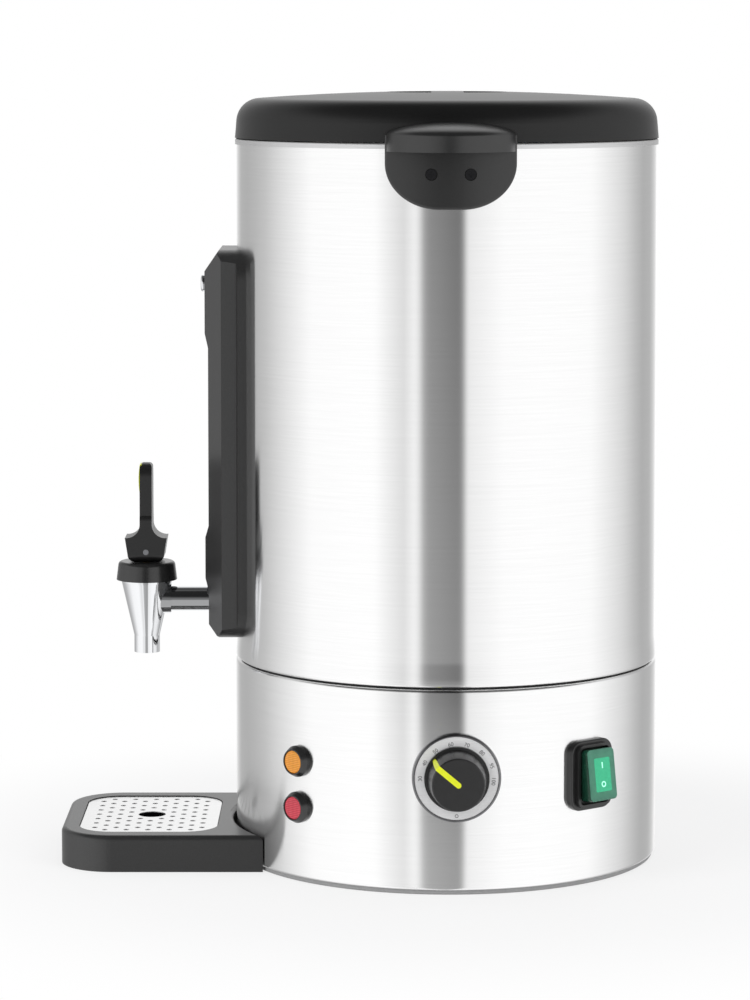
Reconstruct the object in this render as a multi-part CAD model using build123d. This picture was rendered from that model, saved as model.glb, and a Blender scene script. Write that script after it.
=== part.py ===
from build123d import *
import math
import os

# Electric water boiler of the double-walled drum kind, in millimetres.
# The origin is on the drum's axis at the level of the worktop. +Z is up, the
# controls face -Y, and the tap, the level gauge and the drip tray face -X.

# Drum, base and tank
base_diameter = 305.0
drum_inset = 1.0
sheet = 0.8
sheet_fit = 0.1
bend = 2.0
foot_height = 3.0
foot_width = 11.0
base_top = 143.4
seam_gap = 1.2
seam_depth = 1.6
flange_width = 12.0
drum_flare = 0.8
flare_height = 5.0
drum_height = 374.4
rim_roll = 4.0
tank_gap = 9.2
tap_above_floor = 26.5
tank_corner = 10.0
piece_gap = 0.3
cut_over = 1.0

# Screws, by thread and by head
small_thread = 2.0
small_head = 3.7
small_head_height = 2.4
seam_screw_count = 4
seam_screw_angle = 22.0

# Base plate, heat plate and element
plate_rise = 5.6
plate_shelf_inset = 34.5
plate_slope = 6.0
plate_margin = 3.0
vent_count = 12
vent_margin = 24.0
vent_length = 24.0
vent_width = 4.0
heat_plate_inset = 29.5
heat_plate_height = 6.0
element_inset = 24.0
element_tube = 4.0
element_arc = 320.0
element_leg = 16.0
element_bend = 12.0
element_pin = 2.0
element_pin_length = 8.0
element_gap_angle = 90.0
rod_count = 3
rod_to_element = 26.0
rod_radius = 2.5
rod_clearance = 0.3
rod_nut_width = 8.0
rod_nut_height = 4.0
rod_end = 1.2

# Controls inside the base
cutout_radius = 8.0
cutout_height = 10.0
cutout_to_rods = 38.0
thermostat_width = 38.0
thermostat_height = 32.0
thermostat_depth = 20.0
bulb_radius = 3.0
bulb_length = 70.0
bulb_to_element = 42.0
capillary_radius = 1.0
capillary_bend = 9.0
capillary_small_bend = 4.0
capillary_place = 15.0
capillary_inset = 3.0
capillary_drop = 9.0
capillary_reach = 17.0
terminal_width = 46.0
terminal_depth = 20.0
terminal_height = 18.0
terminal_offset = 52.0
terminal_pole_count = 4
terminal_pole_radius = 3.2

# Lid
lid_step = 1.0
lid_wall = 2.5
lid_gap = 0.5
lid_shoulder_inset = 2.3
lid_side_height = 27.2
lid_crown_height = 6.1
lid_edge_round = 17.0
well_radius = 45.5
well_depth = 24.0
well_wall = 2.0
well_round = 5.0
bar_width = 23.0
bar_depth = 10.0
bar_round = 4.0
vent_slot_inset = 26.5
vent_slot_length = 19.0
vent_slot_width = 6.0
vent_hole_radius = 1.6
vent_hole_inset = 37.5
inner_plate_fit = 2.8
inner_plate_margin = 0.5
inner_plate_drop = 7.5
inner_plate_sheet = 0.8
seal_width = 6.0
seal_height = 1.2
lid_boss_inset = 40.5
lid_boss_radius = 4.5
lid_boss_count = 4
lid_boss_angle = 45.0
lid_screw_length = 12.0

# Handles
handle_width = 90.0
handle_reach = 39.0
lip_rise = 5.5
lip_height = 11.0
lip_wall = 4.0
dome_height = 9.0
scoop_depth = 7.0
apron_drop = 39.5
apron_thickness = 9.0
apron_curve = 31.5
apron_flat_half = 8.0
apron_edge = 2.0
handle_lid_gap = 1.2
handle_screw_spacing = 26.8
handle_screw_drop = 15.5
handle_screw_hole = 4.2
handle_screw_sink = 4.0
nut_plate_width = 44.0
nut_plate_height = 14.0
nut_plate_thickness = 2.5

# Level gauge
gauge_gap = 6.1
gauge_height = 279.3
gauge_width = 100.0
gauge_round = 21.0
gauge_frame_thickness = 6.0
gauge_wall = 2.2
gauge_side_inset = 2.5
gauge_ridge_depth = 9.8
gauge_ridge_inset = 5.0
gauge_depth = 19.9
gauge_front_half = 20.0
gauge_pad = 2.6
pad_low_start = 32.7
pad_low_end = 79.9
pad_low_slope = 8.8
pad_high_drop = 71.0
pad_high_slope = 10.3
gauge_top_chamfer = 16.0
gauge_top_depth = 11.0
gauge_foot_chamfer = 8.7
gauge_foot_depth = 8.4
window_width = 17.0
window_low = 82.8
window_drop = 74.0
scale_thickness = 1.0
scale_width = 24.0
tube_clearance = 0.15
tube_wall = 1.2
tube_rise = 15.5
tube_drop = 38.0
socket_width = 15.0
socket_length = 12.0
tee_radius = 13.0
gauge_port = 2.5
gauge_bolt_drop = 25.8
gauge_bolt_head = 6.2
gauge_bolt_proud = 3.4

# Tap
tap_rise = 23.8
tap_stand_off = 43.5
shank_radius = 9.1
shank_bore = 5.5
shank_overhang = 4.7
shank_spigot_radius = 7.4
shank_spigot_length = 4.0
shank_clearance = 0.1
tap_nut_width = 27.0
tap_nut_height = 6.0
tap_washer = 2.0
tap_washer_radius = 14.0
spout_drop = 38.8
spout_radius = 9.35
spout_length = 12.3
spout_bore = 6.5
cone_height = 38.8
cone_radius = 18.3
collar_height = 7.0
chamber_radius = 13.5
chamber_foot_radius = 9.9
chamber_drop = 16.0
boss_radius = 10.9
boss_length = 18.0
bonnet_radius = 22.0
bonnet_draft = 1.6
bonnet_step = 2.0
bonnet_height = 13.3
bonnet_round = 2.8
bonnet_wall = 3.0
bonnet_fit = 0.1
pin_radius = 2.0
pin_clearance = 0.05
pin_rise = 7.4
head_gap = 0.3
head_half = 15.15
head_foot_half = 13.2
head_corner = 5.5
head_top = 17.8
head_depth = 25.0
neck_rise = 9.7
stem_half = 4.4
paddle_width = 22.0
paddle_round = 9.5
slot_reach = 10.6
lever_length = 71.6
lever_tip_round = 3.2
insert_drop = 1.0
insert_length = 22.0
insert_width = 13.0
insert_sink = 1.6
insert_proud = 0.9
valve_stem_radius = 3.0
valve_ball_radius = 4.2
valve_clearance = 0.4
cup_radius = 8.6
cup_height = 7.0
collar_rise = 10.0
stem_collar_height = 2.0
spring_radius = 6.0
spring_wall = 1.0

# Drip tray and plate
tray_beyond = 59.5
tray_width = 158.0
tray_height = 26.0
tray_round = 38.0
tray_edge = 3.5
tray_wall = 2.5
tray_gap_middle = 1.9
tray_gap_tip = 0.7
plate_length = 99.0
plate_width = 128.0
plate_shift = 3.0
plate_round = 24.0
plate_thickness = 1.0
plate_side_gap = 0.4
plate_sink = 0.7
plate_ledge = 2.0
plate_hole = 9.85
drain_radius = 2.0
drain_pitch = 7.7
drain_margin = 5.0

# Pilot lamps
lamp_angle = -43.5
lamp_heights = (53.5, 86.1)
lamp_bezel_radius = 11.0
lamp_bezel_foot = 2.6
lamp_bezel_front_radius = 9.0
lamp_proud = 6.4
lamp_lens_radius = 8.0
lamp_lens_edge = 1.2
lamp_seat = 1.0
lamp_body_radius = 6.2
lamp_body_depth = 26.0
lamp_fit = 0.1

# Thermostat dial
dial_angle = 1.7
dial_height = 82.5
dial_ring_radius = 30.8
dial_ring_proud = 3.6
dial_plate_radius = 28.9
dial_plate_thickness = 0.8
dial_sink = 0.3
dial_shoulder = 2.0
dial_ring_edge = 1.2
knob_gap = 0.4
knob_skirt_radius = 22.5
knob_skirt_height = 3.0
knob_body_radius = 20.6
knob_face_radius = 18.3
knob_height = 24.0
knob_edge = 1.0
knob_wall = 2.0
pointer_angle = 140.0
pointer_width = 3.9
pointer_proud = 0.5
pointer_depth = 1.2
spindle_radius = 3.0
spindle_clearance = 0.05
spindle_grip = 12.0

# Rocker switch
switch_angle = 39.7
switch_height = 78.3
bezel_width = 39.0
bezel_height = 49.0
bezel_round = 9.0
bezel_proud = 4.0
bezel_edge = 1.4
bezel_floor = 1.5
frame_rise = 3.0
frame_wall = 2.0
boot_width = 25.0
boot_height = 36.0
boot_clearance_side = 0.8
boot_clearance_end = 2.0
boot_proud = 15.0
boot_foot = 4.3
boot_edge = 2.0
boot_round = 3.0
boot_wall = 1.4
rocker_angle = 7.5
rocker_width = 20.0
rocker_height = 30.0
rocker_round = 1.5
rocker_axis = 2.0
axle_radius = 3.0
axle_clearance = 0.06
switch_body_width = 22.0
switch_body_height = 33.0
switch_body_depth = 26.0

# Cable gland
gland_angle = 180.0
gland_height = 34.0
gland_thread_radius = 7.9
gland_hex_width = 22.0
gland_hex_height = 5.0
gland_dome_radius = 9.5
gland_dome_length = 15.0
gland_dome_round = 3.0
gland_bore = 4.1
gland_inside = 11.0
gland_nut_height = 4.0

# Places along an edge at which it is tested
edge_shares = (0.0, 0.3, 0.5, 0.8, 1.0)

# Radii, places and heights that follow from these
base_radius = base_diameter / 2
drum_radius = base_radius - drum_inset
tank_radius = drum_radius - sheet - tank_gap
lid_radius = drum_radius + lid_step
seam_circle = drum_radius - flange_width / 2
drum_low = base_top + seam_gap
rim_top = drum_low + drum_height
lid_low = rim_top + lid_gap
lid_shoulder = lid_low + lid_side_height
lid_top = lid_shoulder + lid_crown_height
gauge_low = drum_low + 2 * flare_height + gauge_gap
gauge_top = gauge_low + gauge_height
gauge_seam_radius = drum_radius + gauge_frame_thickness
gauge_front = drum_radius + gauge_depth
gauge_bolt_place = gauge_top - gauge_bolt_drop
tap_height = gauge_low + tap_rise
tap_reach = gauge_front + gauge_pad + tap_stand_off
tube_foot = tap_height + tube_rise
tube_top = gauge_top - tube_drop
tank_floor = tap_height - tap_above_floor
heat_plate_radius = tank_radius - heat_plate_inset
heat_plate_top = tank_floor - sheet
heat_plate_low = heat_plate_top - heat_plate_height
element_radius = heat_plate_radius - element_inset
rod_circle = element_radius - rod_to_element
cutout_offset = rod_circle - cutout_to_rods
bulb_offset = element_radius - bulb_to_element
plate_flat = foot_height + sheet + plate_rise
plate_shelf_radius = base_radius - plate_shelf_inset
shank_end = tank_radius - sheet - tap_washer - tap_nut_height - shank_overhang
spout_low = tap_height - spout_drop
bonnet_low = spout_low + spout_length + cone_height + bonnet_step
head_low = bonnet_low + bonnet_height + head_gap
pin_height = head_low + pin_rise
lever_top = head_low + lever_length
chamber_floor = tap_height - chamber_drop
valve_cup_top = chamber_floor + piece_gap + cup_height
tray_end = tap_reach + tray_beyond
plate_centre = tap_reach - plate_shift
lid_boss_circle = lid_radius - lid_boss_inset
inner_plate_edge = lid_radius - lid_wall - inner_plate_margin
pan_top = rim_top + piece_gap + seal_height + inner_plate_sheet - inner_plate_drop
dial_front = base_radius + dial_ring_proud - dial_sink


# Building blocks
def tube(outer, inner, low, high):
    """Upright ring between two radii and two heights."""
    return rod(outer, low, high) - rod(inner, low - cut_over, high + cut_over)


def rod(radius, low, high):
    """Upright cylinder between two heights."""
    return Pos(0, 0, low) * extrude(Circle(radius), high - low)


def turned(*points):
    """Solid turned about the vertical axis from an outline of radius and height."""
    outline = make_face(Polyline(*points, close=True))
    return revolve(Plane.XZ * outline, Axis.Z)


def turned_sheet(points, bends, thickness):
    """Sheet metal turned about the vertical axis, from the middle line of its wall."""
    path = FilletPolyline(*points, radius=bends)
    return revolve(Plane.XZ * trace(path, thickness), Axis.Z)


def box(low, high):
    """Block between two corners."""
    size = [b - a for a, b in zip(low, high)]
    return Pos(*low) * Box(*size, align=Align.MIN)


def at_turn(turn, height):
    """Frame on the drum's axis whose Z points out of the wall at an angle from the front."""
    a = math.radians(turn)
    return Plane(
        origin=(0, 0, height),
        x_dir=(math.cos(a), math.sin(a), 0),
        z_dir=(math.sin(a), -math.cos(a), 0),
    )


def side_on(shape, height):
    """Turn a piece built upright so that its axis points along -X at a height."""
    return Pos(0, 0, height) * Rot(0, -90, 0) * shape


def around(shape, count, start=0.0):
    """Copies of a piece spaced evenly round the drum's axis."""
    return [Rot(0, 0, start + 360 * i / count) * shape for i in range(count)]


def hexagon(across_flats):
    """Hexagon with a given width across its flats."""
    return RegularPolygon(across_flats / 2, 6, major_radius=False)


def save(name, *solids):
    """Write one node as a STEP file."""
    pieces = [s for part in solids for s in part.solids()]
    shape = pieces[0] if len(pieces) == 1 else Compound(children=pieces)
    shape.label = name
    export_step(shape, f"parts/{name}.step")


# Holes that pierce the jackets
def panel_bore(turn, height, radius):
    """Round hole through the jacket at an angle and a height."""
    hole = rod(radius, tank_radius - cut_over, base_radius + flange_width)
    return at_turn(turn, height) * hole


def switch_opening():
    """Opening in the base shell that the switch body clips into."""
    window = Rectangle(switch_body_width + 2 * piece_gap, switch_body_height + 2 * piece_gap)
    return at_turn(switch_angle, switch_height) * Pos(0, 0, tank_radius) * extrude(window, flange_width * 2)


# Base
def base_shell():
    """Lower jacket: a rolled tube with a flange turned in at each end."""
    middle = base_radius - sheet / 2
    shell = turned_sheet(
        [
            (base_radius - flange_width, foot_height + sheet / 2),
            (middle, foot_height + sheet / 2),
            (middle, base_top - sheet / 2),
            (base_radius - flange_width, base_top - sheet / 2),
        ],
        bend,
        sheet,
    )
    for height in lamp_heights:
        shell -= panel_bore(lamp_angle, height, lamp_body_radius + lamp_fit)
    shell -= panel_bore(dial_angle, dial_height, spindle_radius + piece_gap)
    shell -= panel_bore(gland_angle, gland_height, gland_thread_radius + piece_gap)
    shell -= switch_opening()
    return shell - seam_screw_holes()


def seam_screw_holes():
    """Clearance holes for the screws that hold the two jackets together."""
    hole = Pos(seam_circle, 0) * rod(small_thread + sheet_fit, base_top - bend, drum_low + bend)
    return around(hole, seam_screw_count, seam_screw_angle)


def seam_gasket():
    """Dark ring set back in the groove between the base and the drum."""
    ring = tube(drum_radius - seam_depth, drum_radius - flange_width, base_top, drum_low)
    return ring - seam_screw_holes()


def seam_screws():
    """Screws up through the two flanges and the gasket, with their heads below."""
    head_top = base_top - sheet
    head = rod(small_head, head_top - small_head_height, head_top)
    shank = rod(small_thread, head_top, drum_low + sheet + small_head_height)
    return around(Pos(seam_circle, 0) * (head + shank), seam_screw_count, seam_screw_angle)


def base_plate():
    """Bottom cover: a shallow raised pan with radial air slots and rod holes."""
    flat = plate_flat + sheet / 2
    low = foot_height + sheet + sheet / 2
    edge = base_radius - sheet - plate_margin
    pan = turned_sheet(
        [(0, flat), (plate_shelf_radius, flat), (plate_shelf_radius + plate_slope, low), (edge, low)],
        bend,
        sheet,
    )
    slot = extrude(SlotOverall(vent_length, vent_width), sheet + 2 * cut_over)
    slot = Pos(plate_shelf_radius - vent_margin - vent_length / 2, 0, plate_flat - cut_over) * slot
    hole = Pos(rod_circle, 0) * rod(rod_radius + rod_clearance, plate_flat - bend, plate_flat + bend)
    return pan - around(slot, vent_count) - around(hole, rod_count, 360 / rod_count / 4)


def foot_ring():
    """Foot moulding under the base flange, on which the boiler stands."""
    outer = base_radius - bend
    inner = outer - foot_width
    edge = foot_height / 3
    return turned(
        (inner, 0), (outer - edge, 0), (outer, edge), (outer, foot_height), (inner, foot_height)
    )


# Drum and tank
def outer_drum():
    """Upper jacket: a tube with a small flare and a turned-in flange at its foot."""
    middle = drum_radius - sheet / 2
    foot = drum_low + sheet / 2
    drum = turned_sheet(
        [
            (drum_radius - flange_width, foot),
            (middle + drum_flare, foot),
            (middle + drum_flare, foot + flare_height),
            (middle, foot + 2 * flare_height),
            (middle, rim_top - sheet - bend / 2 - sheet_fit),
        ],
        [bend, 2 * bend, 2 * bend],
        sheet,
    )
    drum -= side_on(rod(shank_radius + piece_gap, tank_radius, base_radius + bend), tap_height)
    drum -= side_on(
        rod(small_thread + sheet_fit, tank_radius, base_radius + bend), gauge_bolt_place
    )
    for turn in (0, 180):
        drum -= handle_screw_places(turn, rod(small_thread + sheet_fit, tank_radius, base_radius))
    return drum - seam_screw_holes()


def inner_tank():
    """Drawn tank whose rim is turned out and rolled down over the drum's top edge."""
    middle = tank_radius - sheet / 2
    roll = drum_radius + sheet_fit + sheet / 2
    tank = turned_sheet(
        [
            (0, tank_floor - sheet / 2),
            (middle, tank_floor - sheet / 2),
            (middle, rim_top - sheet / 2),
            (roll, rim_top - sheet / 2),
            (roll, rim_top - rim_roll),
        ],
        [tank_corner, bend, bend / 2],
        sheet,
    )
    return tank - side_on(rod(shank_radius + piece_gap, shank_end, drum_radius - bend), tap_height)


def heat_plate():
    """Aluminium plate brazed under the tank floor."""
    return rod(heat_plate_radius, heat_plate_low, heat_plate_top)


def heating_element():
    """Tubular element: most of a ring under the heat plate, turned down into two legs."""
    level = heat_plate_low - element_tube
    start = element_gap_angle + (360 - element_arc) / 2
    ring = CenterArc((0, 0, level), element_radius, start, element_arc)
    path = [ring]
    feet = []
    for share, side in ((0, -1), (1, 1)):
        end = ring @ share
        knee = end + (ring % share) * side * element_bend - Vector(0, 0, element_bend)
        path.append(TangentArc(knee, end, tangent=(0, 0, 1)))
        foot = knee - Vector(0, 0, element_leg)
        path.append(Line(foot, knee))
        feet.append(foot)
    tube_body = sweep(Plane.XY * Pos(*feet[0]) * Circle(element_tube), Wire(path))
    pins = [Pos(*foot) * rod(element_pin, -element_pin_length, element_pin) for foot in feet]
    return tube_body + pins


def tie_rods():
    """Threaded rods that pull the tank down onto the base plate."""
    rods = Pos(rod_circle, 0) * rod(rod_radius, plate_flat - rod_nut_height - rod_end, heat_plate_low)
    return around(rods, rod_count, 360 / rod_count / 4)


def tie_rod_nuts():
    """Nuts under the base plate."""
    low = plate_flat - rod_nut_height
    nut = Pos(0, 0, low) * extrude(hexagon(rod_nut_width) - Circle(rod_radius), rod_nut_height)
    return around(Pos(rod_circle, 0) * nut, rod_count, 360 / rod_count / 4)


# Controls inside the base
def boil_dry_cutout():
    """Round cut-out switch held under the heat plate, with its two blades."""
    body = rod(cutout_radius, heat_plate_low - cutout_height, heat_plate_low)
    low = heat_plate_low - cutout_height
    for side in (-1, 1):
        x = side * cutout_radius / 2
        body += box(
            (x - sheet / 2, -cutout_radius / 3, low - cutout_height),
            (x + sheet / 2, cutout_radius / 3, low),
        )
    return Pos(cutout_offset, cutout_offset) * body


def thermostat_body():
    """Thermostat behind the dial, its face against the inside of the base shell."""
    low = base_radius - sheet - thermostat_depth
    outline = Rectangle(thermostat_width, thermostat_height)
    body = at_turn(dial_angle, dial_height) * Pos(0, 0, low) * extrude(outline, 2 * thermostat_depth)
    body = body & rod(base_radius - sheet, 0, base_top)
    bore = rod(spindle_radius + spindle_clearance, low - cut_over, base_radius)
    return body - at_turn(dial_angle, dial_height) * bore


def thermostat_bulb():
    """Sensing bulb under the heat plate and the capillary that runs down to the thermostat."""
    level = heat_plate_low - bulb_radius
    bulb = Pos(-bulb_length / 2, -bulb_offset, level) * Rot(0, 90, 0)
    bulb = bulb * extrude(Circle(bulb_radius), bulb_length)
    start = (
        capillary_place,
        -(base_radius - sheet - thermostat_depth + capillary_inset),
        dial_height + thermostat_height / 2,
    )
    shelf = level - capillary_drop
    far = bulb_length / 2 + capillary_reach
    route = FilletPolyline(
        start,
        (start[0], start[1], shelf),
        (far, -bulb_offset, shelf),
        (far, -bulb_offset, level),
        (bulb_length / 2, -bulb_offset, level),
        radius=[capillary_bend, capillary_small_bend, capillary_small_bend],
    )
    capillary = sweep(Plane.XY * Pos(*start) * Circle(capillary_radius), route)
    return bulb + capillary


def terminal_block():
    """Terminal block on the base plate, with one raised pole for each wire."""
    low = plate_flat + sheet
    block = Pos(0, terminal_offset, low) * Box(
        terminal_width, terminal_depth, terminal_height, align=(Align.CENTER, Align.CENTER, Align.MIN)
    )
    pitch = terminal_width / terminal_pole_count
    for i in range(terminal_pole_count):
        x = (i + 0.5) * pitch - terminal_width / 2
        hole = rod(terminal_pole_radius, low + terminal_height / 2, low + 2 * terminal_height)
        hole = Pos(x, terminal_offset) * hole
        block -= hole
    return block


# Cable gland
def cable_gland():
    """Cord gland through the back of the base: thread, hexagon and dome nut."""
    seat = base_radius
    body = rod(gland_thread_radius, seat - sheet - gland_inside, seat + gland_hex_height)
    dome = rod(gland_dome_radius, seat + gland_hex_height, seat + gland_hex_height + gland_dome_length)
    dome = fillet(dome.edges().sort_by(Axis.Z)[-1:], gland_dome_round)
    body += dome
    bore = rod(gland_bore, seat - sheet - gland_inside - cut_over, seat + 2 * gland_dome_length)
    hexagonal = Pos(0, 0, seat - bend) * extrude(hexagon(gland_hex_width), gland_hex_height + bend)
    frame = at_turn(gland_angle, gland_height)
    collar = frame * hexagonal - rod(base_radius, 0, base_top)
    return frame * body + collar - frame * bore


def gland_nut():
    """Lock nut inside the base shell."""
    top = base_radius - sheet - bend / 2
    outline = hexagon(gland_hex_width) - Circle(gland_thread_radius + shank_clearance)
    nut = extrude(outline, gland_nut_height + bend)
    nut = at_turn(gland_angle, gland_height) * Pos(0, 0, top - gland_nut_height) * nut
    return nut & rod(base_radius - sheet, 0, base_top)


# Handles
def handle_screw_places(turn, shape):
    """A piece at each of one handle's two screws, its axis pointing out of the drum."""
    height = rim_top + lip_rise - lip_height - handle_screw_drop
    frame = at_turn(turn, height)
    half = handle_screw_spacing / 2
    return [frame * Pos(x, 0) * shape for x in (-half, half)]


def outer_edges(shape, radius, below):
    """Edges of a shape that lie on an upright cylinder, below a height."""
    found = []
    for edge in shape.edges():
        places = [edge @ share for share in edge_shares]
        on_it = all(abs(math.hypot(p.X, p.Y) - radius) < sheet_fit for p in places)
        if on_it and edge.center().Z < below:
            found.append(edge)
    return found


def handle(turn):
    """Moulded handle: an apron on the drum, an overhanging lip and a raised back."""
    lip_top = rim_top + lip_rise
    lip_low = lip_top - lip_height
    apron_low = lip_low - apron_drop
    half = handle_width / 2
    root = math.sqrt(drum_radius**2 - half**2)
    reach = drum_radius + handle_reach - root
    inset_share = (half - lip_wall) / half

    curve_top = apron_low + apron_curve
    outline = Pos(0, (curve_top + lip_top) / 2) * Rectangle(handle_width, lip_top - curve_top)
    for side in (-apron_flat_half, apron_flat_half):
        outline += Pos(side, curve_top) * Ellipse(half - apron_flat_half, apron_curve)
    outline += Pos(0, curve_top - apron_curve / 2) * Rectangle(2 * apron_flat_half, apron_curve)
    apron = extrude(Plane.XZ * outline, drum_radius + handle_reach)
    apron = apron & rod(drum_radius + apron_thickness, apron_low - cut_over, lip_top)
    apron = fillet(outer_edges(apron, drum_radius + apron_thickness, lip_low), apron_edge)

    plan = Pos(0, -root) * Ellipse(half, reach)
    lip = Pos(0, 0, lip_low) * extrude(plan, lip_height)
    inner_plan = Pos(0, -root) * Ellipse(half * inset_share, reach * inset_share)
    scoop = Pos(0, 0, lip_low - cut_over) * extrude(inner_plan, scoop_depth + cut_over)
    dome = Pos(0, -root, lip_top) * scale(Sphere(1), by=(half, reach, dome_height))

    drum = rod(drum_radius, 0, lid_top)
    grip = (apron - drum) + (lip - scoop - drum)
    grip += dome - rod(base_radius + handle_reach, 0, lip_top - lip_wall) - drum
    grip -= rod(lid_radius + handle_lid_gap, rim_top - 2 * rim_roll, lid_top)
    seat = drum_radius + apron_thickness - handle_screw_sink
    grip -= handle_screw_places(0, rod(handle_screw_hole, seat, base_radius + handle_reach))
    grip -= handle_screw_places(0, rod(small_thread + sheet_fit, tank_radius, base_radius + handle_reach))
    return Rot(0, 0, turn) * grip


def handle_screws():
    """Two pan-head screws in each handle, each with a cross recess."""
    seat = drum_radius + apron_thickness - handle_screw_sink
    nut_face = nut_plate_place()
    head = rod(small_head, seat, seat + small_head_height)
    cross = Pos(0, 0, seat + small_head_height / 2) * extrude(
        Rectangle(small_head, small_head / 4) + Rectangle(small_head / 4, small_head), small_head_height
    )
    shank = rod(small_thread, nut_face - nut_plate_thickness, seat)
    screw = (head - cross) + shank
    return handle_screw_places(0, screw) + handle_screw_places(180, screw)


def nut_plate_place():
    """Distance of a nut plate's outer face from the axis, where its ends meet the drum."""
    return math.sqrt((drum_radius - sheet) ** 2 - (nut_plate_width / 2) ** 2)


def handle_nut_plates():
    """Steel strip inside the drum behind each handle, tapped for its screws."""
    height = rim_top + lip_rise - lip_height - handle_screw_drop
    face = nut_plate_place()
    strip = Pos(0, 0, face - nut_plate_thickness) * extrude(
        Rectangle(nut_plate_width, nut_plate_height), nut_plate_thickness
    )
    plates = []
    for turn in (0, 180):
        plate = at_turn(turn, height) * strip
        plates.append(plate - handle_screw_places(turn, rod(small_thread, tank_radius, drum_radius)))
    return plates


# Level gauge
def gauge_outline(inset):
    """Rounded outline of the gauge housing, seen from the tap's side."""
    half = gauge_width / 2 - inset
    tall = gauge_height - 2 * inset
    face = RectangleRounded(2 * half, tall, gauge_round - inset)
    middle = gauge_low + gauge_height / 2
    return Plane.YZ * Pos(0, middle) * face


def gauge_form(inset):
    """Faceted body of the gauge housing, drawn in by an inset on every outer face."""
    pad = gauge_front + gauge_pad
    ridge = drum_radius + gauge_ridge_depth
    back = drum_radius - flange_width
    top = gauge_top
    ridge_half = gauge_width / 2 - gauge_ridge_inset
    root_half = gauge_width / 2 - gauge_side_inset
    half = [(-pad, gauge_front_half), (-ridge, ridge_half), (-back, root_half)]
    plan = make_face(Polyline(*half, *[(x, -y) for x, y in reversed(half)], close=True))
    side = make_face(
        Polyline(
            (-back, gauge_low),
            (-gauge_front + gauge_foot_depth, gauge_low),
            (-gauge_front, gauge_low + gauge_foot_chamfer),
            (-gauge_front, gauge_low + pad_low_start),
            (-pad, gauge_low + pad_low_start + pad_low_slope),
            (-pad, gauge_low + pad_low_end - pad_low_slope),
            (-gauge_front, gauge_low + pad_low_end),
            (-gauge_front, top - pad_high_drop),
            (-pad, top - pad_high_drop + pad_high_slope),
            (-pad, top - gauge_top_chamfer),
            (-pad + gauge_top_depth, top),
            (-back, top),
            close=True,
        )
    )
    if inset:
        plan = offset(plan, -inset, kind=Kind.INTERSECTION)
        side = offset(side, -inset, kind=Kind.INTERSECTION)
    block = Pos(0, 0, gauge_low - cut_over) * extrude(plan, gauge_height + 2 * cut_over)
    block = block & extrude(Plane.XZ * side, gauge_width, both=True)
    return block & extrude(gauge_outline(inset), -tray_end)


def gauge_window():
    """Slot in the cover through which the sight tube is read."""
    low = gauge_low + window_low
    high = gauge_top - window_drop
    slot = Pos(0, (low + high) / 2) * SlotOverall(high - low, window_width, rotation=90)
    return extrude(Plane.YZ * slot, -gauge_front - flange_width)


def gauge_cover():
    """Front moulding of the gauge housing, a thin shell with a window."""
    cover = gauge_form(0) - gauge_form(gauge_wall)
    cover -= rod(gauge_seam_radius, 0, lid_top)
    cover -= gauge_window()
    cover -= side_on(rod(shank_radius + piece_gap, drum_radius, tap_reach), tap_height)
    return cover - side_on(rod(small_thread + sheet_fit, drum_radius, tap_reach), gauge_bolt_place)


def gauge_frame():
    """Back moulding that hugs the drum and carries the cover."""
    frame = extrude(gauge_outline(0), -base_radius - flange_width)
    frame = frame & rod(gauge_seam_radius, gauge_low - cut_over, lid_top)
    frame -= rod(drum_radius, 0, lid_top)
    frame -= side_on(rod(shank_radius + piece_gap, tank_radius, tap_reach), tap_height)
    return frame - side_on(rod(small_thread + sheet_fit, tank_radius, tap_reach), gauge_bolt_place)


def gauge_places():
    """Depth and centre of the sight tube in the space between frame and cover."""
    back = gauge_seam_radius + scale_thickness + 2 * tube_clearance
    front = gauge_front - gauge_wall - tube_clearance
    return (front - back) / 2, (front + back) / 2


def sight_tube():
    """Glass tube that shows the water level."""
    radius, centre = gauge_places()
    return Pos(-centre, 0) * tube(radius, radius - tube_wall, tube_foot, tube_top)


def gauge_tee():
    """Metal tee on the shank that feeds the sight tube."""
    front = gauge_front - gauge_wall - tube_clearance
    tee = side_on(rod(tee_radius, drum_radius, front), tap_height)
    socket_top = tube_foot + socket_length
    tee += box((-front, -socket_width / 2, tap_height), (-drum_radius, socket_width / 2, socket_top))
    tee -= rod(gauge_seam_radius, 0, lid_top)
    radius, centre = gauge_places()
    tee -= Pos(-centre, 0) * rod(radius + tube_clearance / 2, tube_foot, lid_top)
    tee -= gauge_port_bore()
    return tee - side_on(rod(shank_radius + tube_clearance, tank_radius, tap_reach), tap_height)


def gauge_port_bore():
    """Upright bore that leads water from the shank to the sight tube."""
    centre = gauge_places()[1]
    return Pos(-centre, 0) * rod(gauge_port, tap_height, tube_foot + cut_over)


def gauge_cap():
    """Rubber cap over the top end of the sight tube."""
    radius, centre = gauge_places()
    front = gauge_front - gauge_wall - tube_clearance
    cap = box(
        (-front, -socket_width / 2, tube_top - socket_length),
        (-drum_radius, socket_width / 2, tube_top + tube_wall),
    )
    cap -= rod(gauge_seam_radius, 0, lid_top)
    return cap - Pos(-centre, 0) * rod(radius + tube_clearance / 2, tube_top - 2 * socket_length, tube_top)


def gauge_scale():
    """Thin scale strip between the frame and the sight tube, bent to the frame."""
    low = tube_foot + socket_length + piece_gap
    high = tube_top - socket_length - piece_gap
    inner = gauge_seam_radius + tube_clearance
    strip = tube(inner + scale_thickness, inner, low, high)
    return strip & box((-tap_reach, -scale_width / 2, low), (0, scale_width / 2, high))


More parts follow.
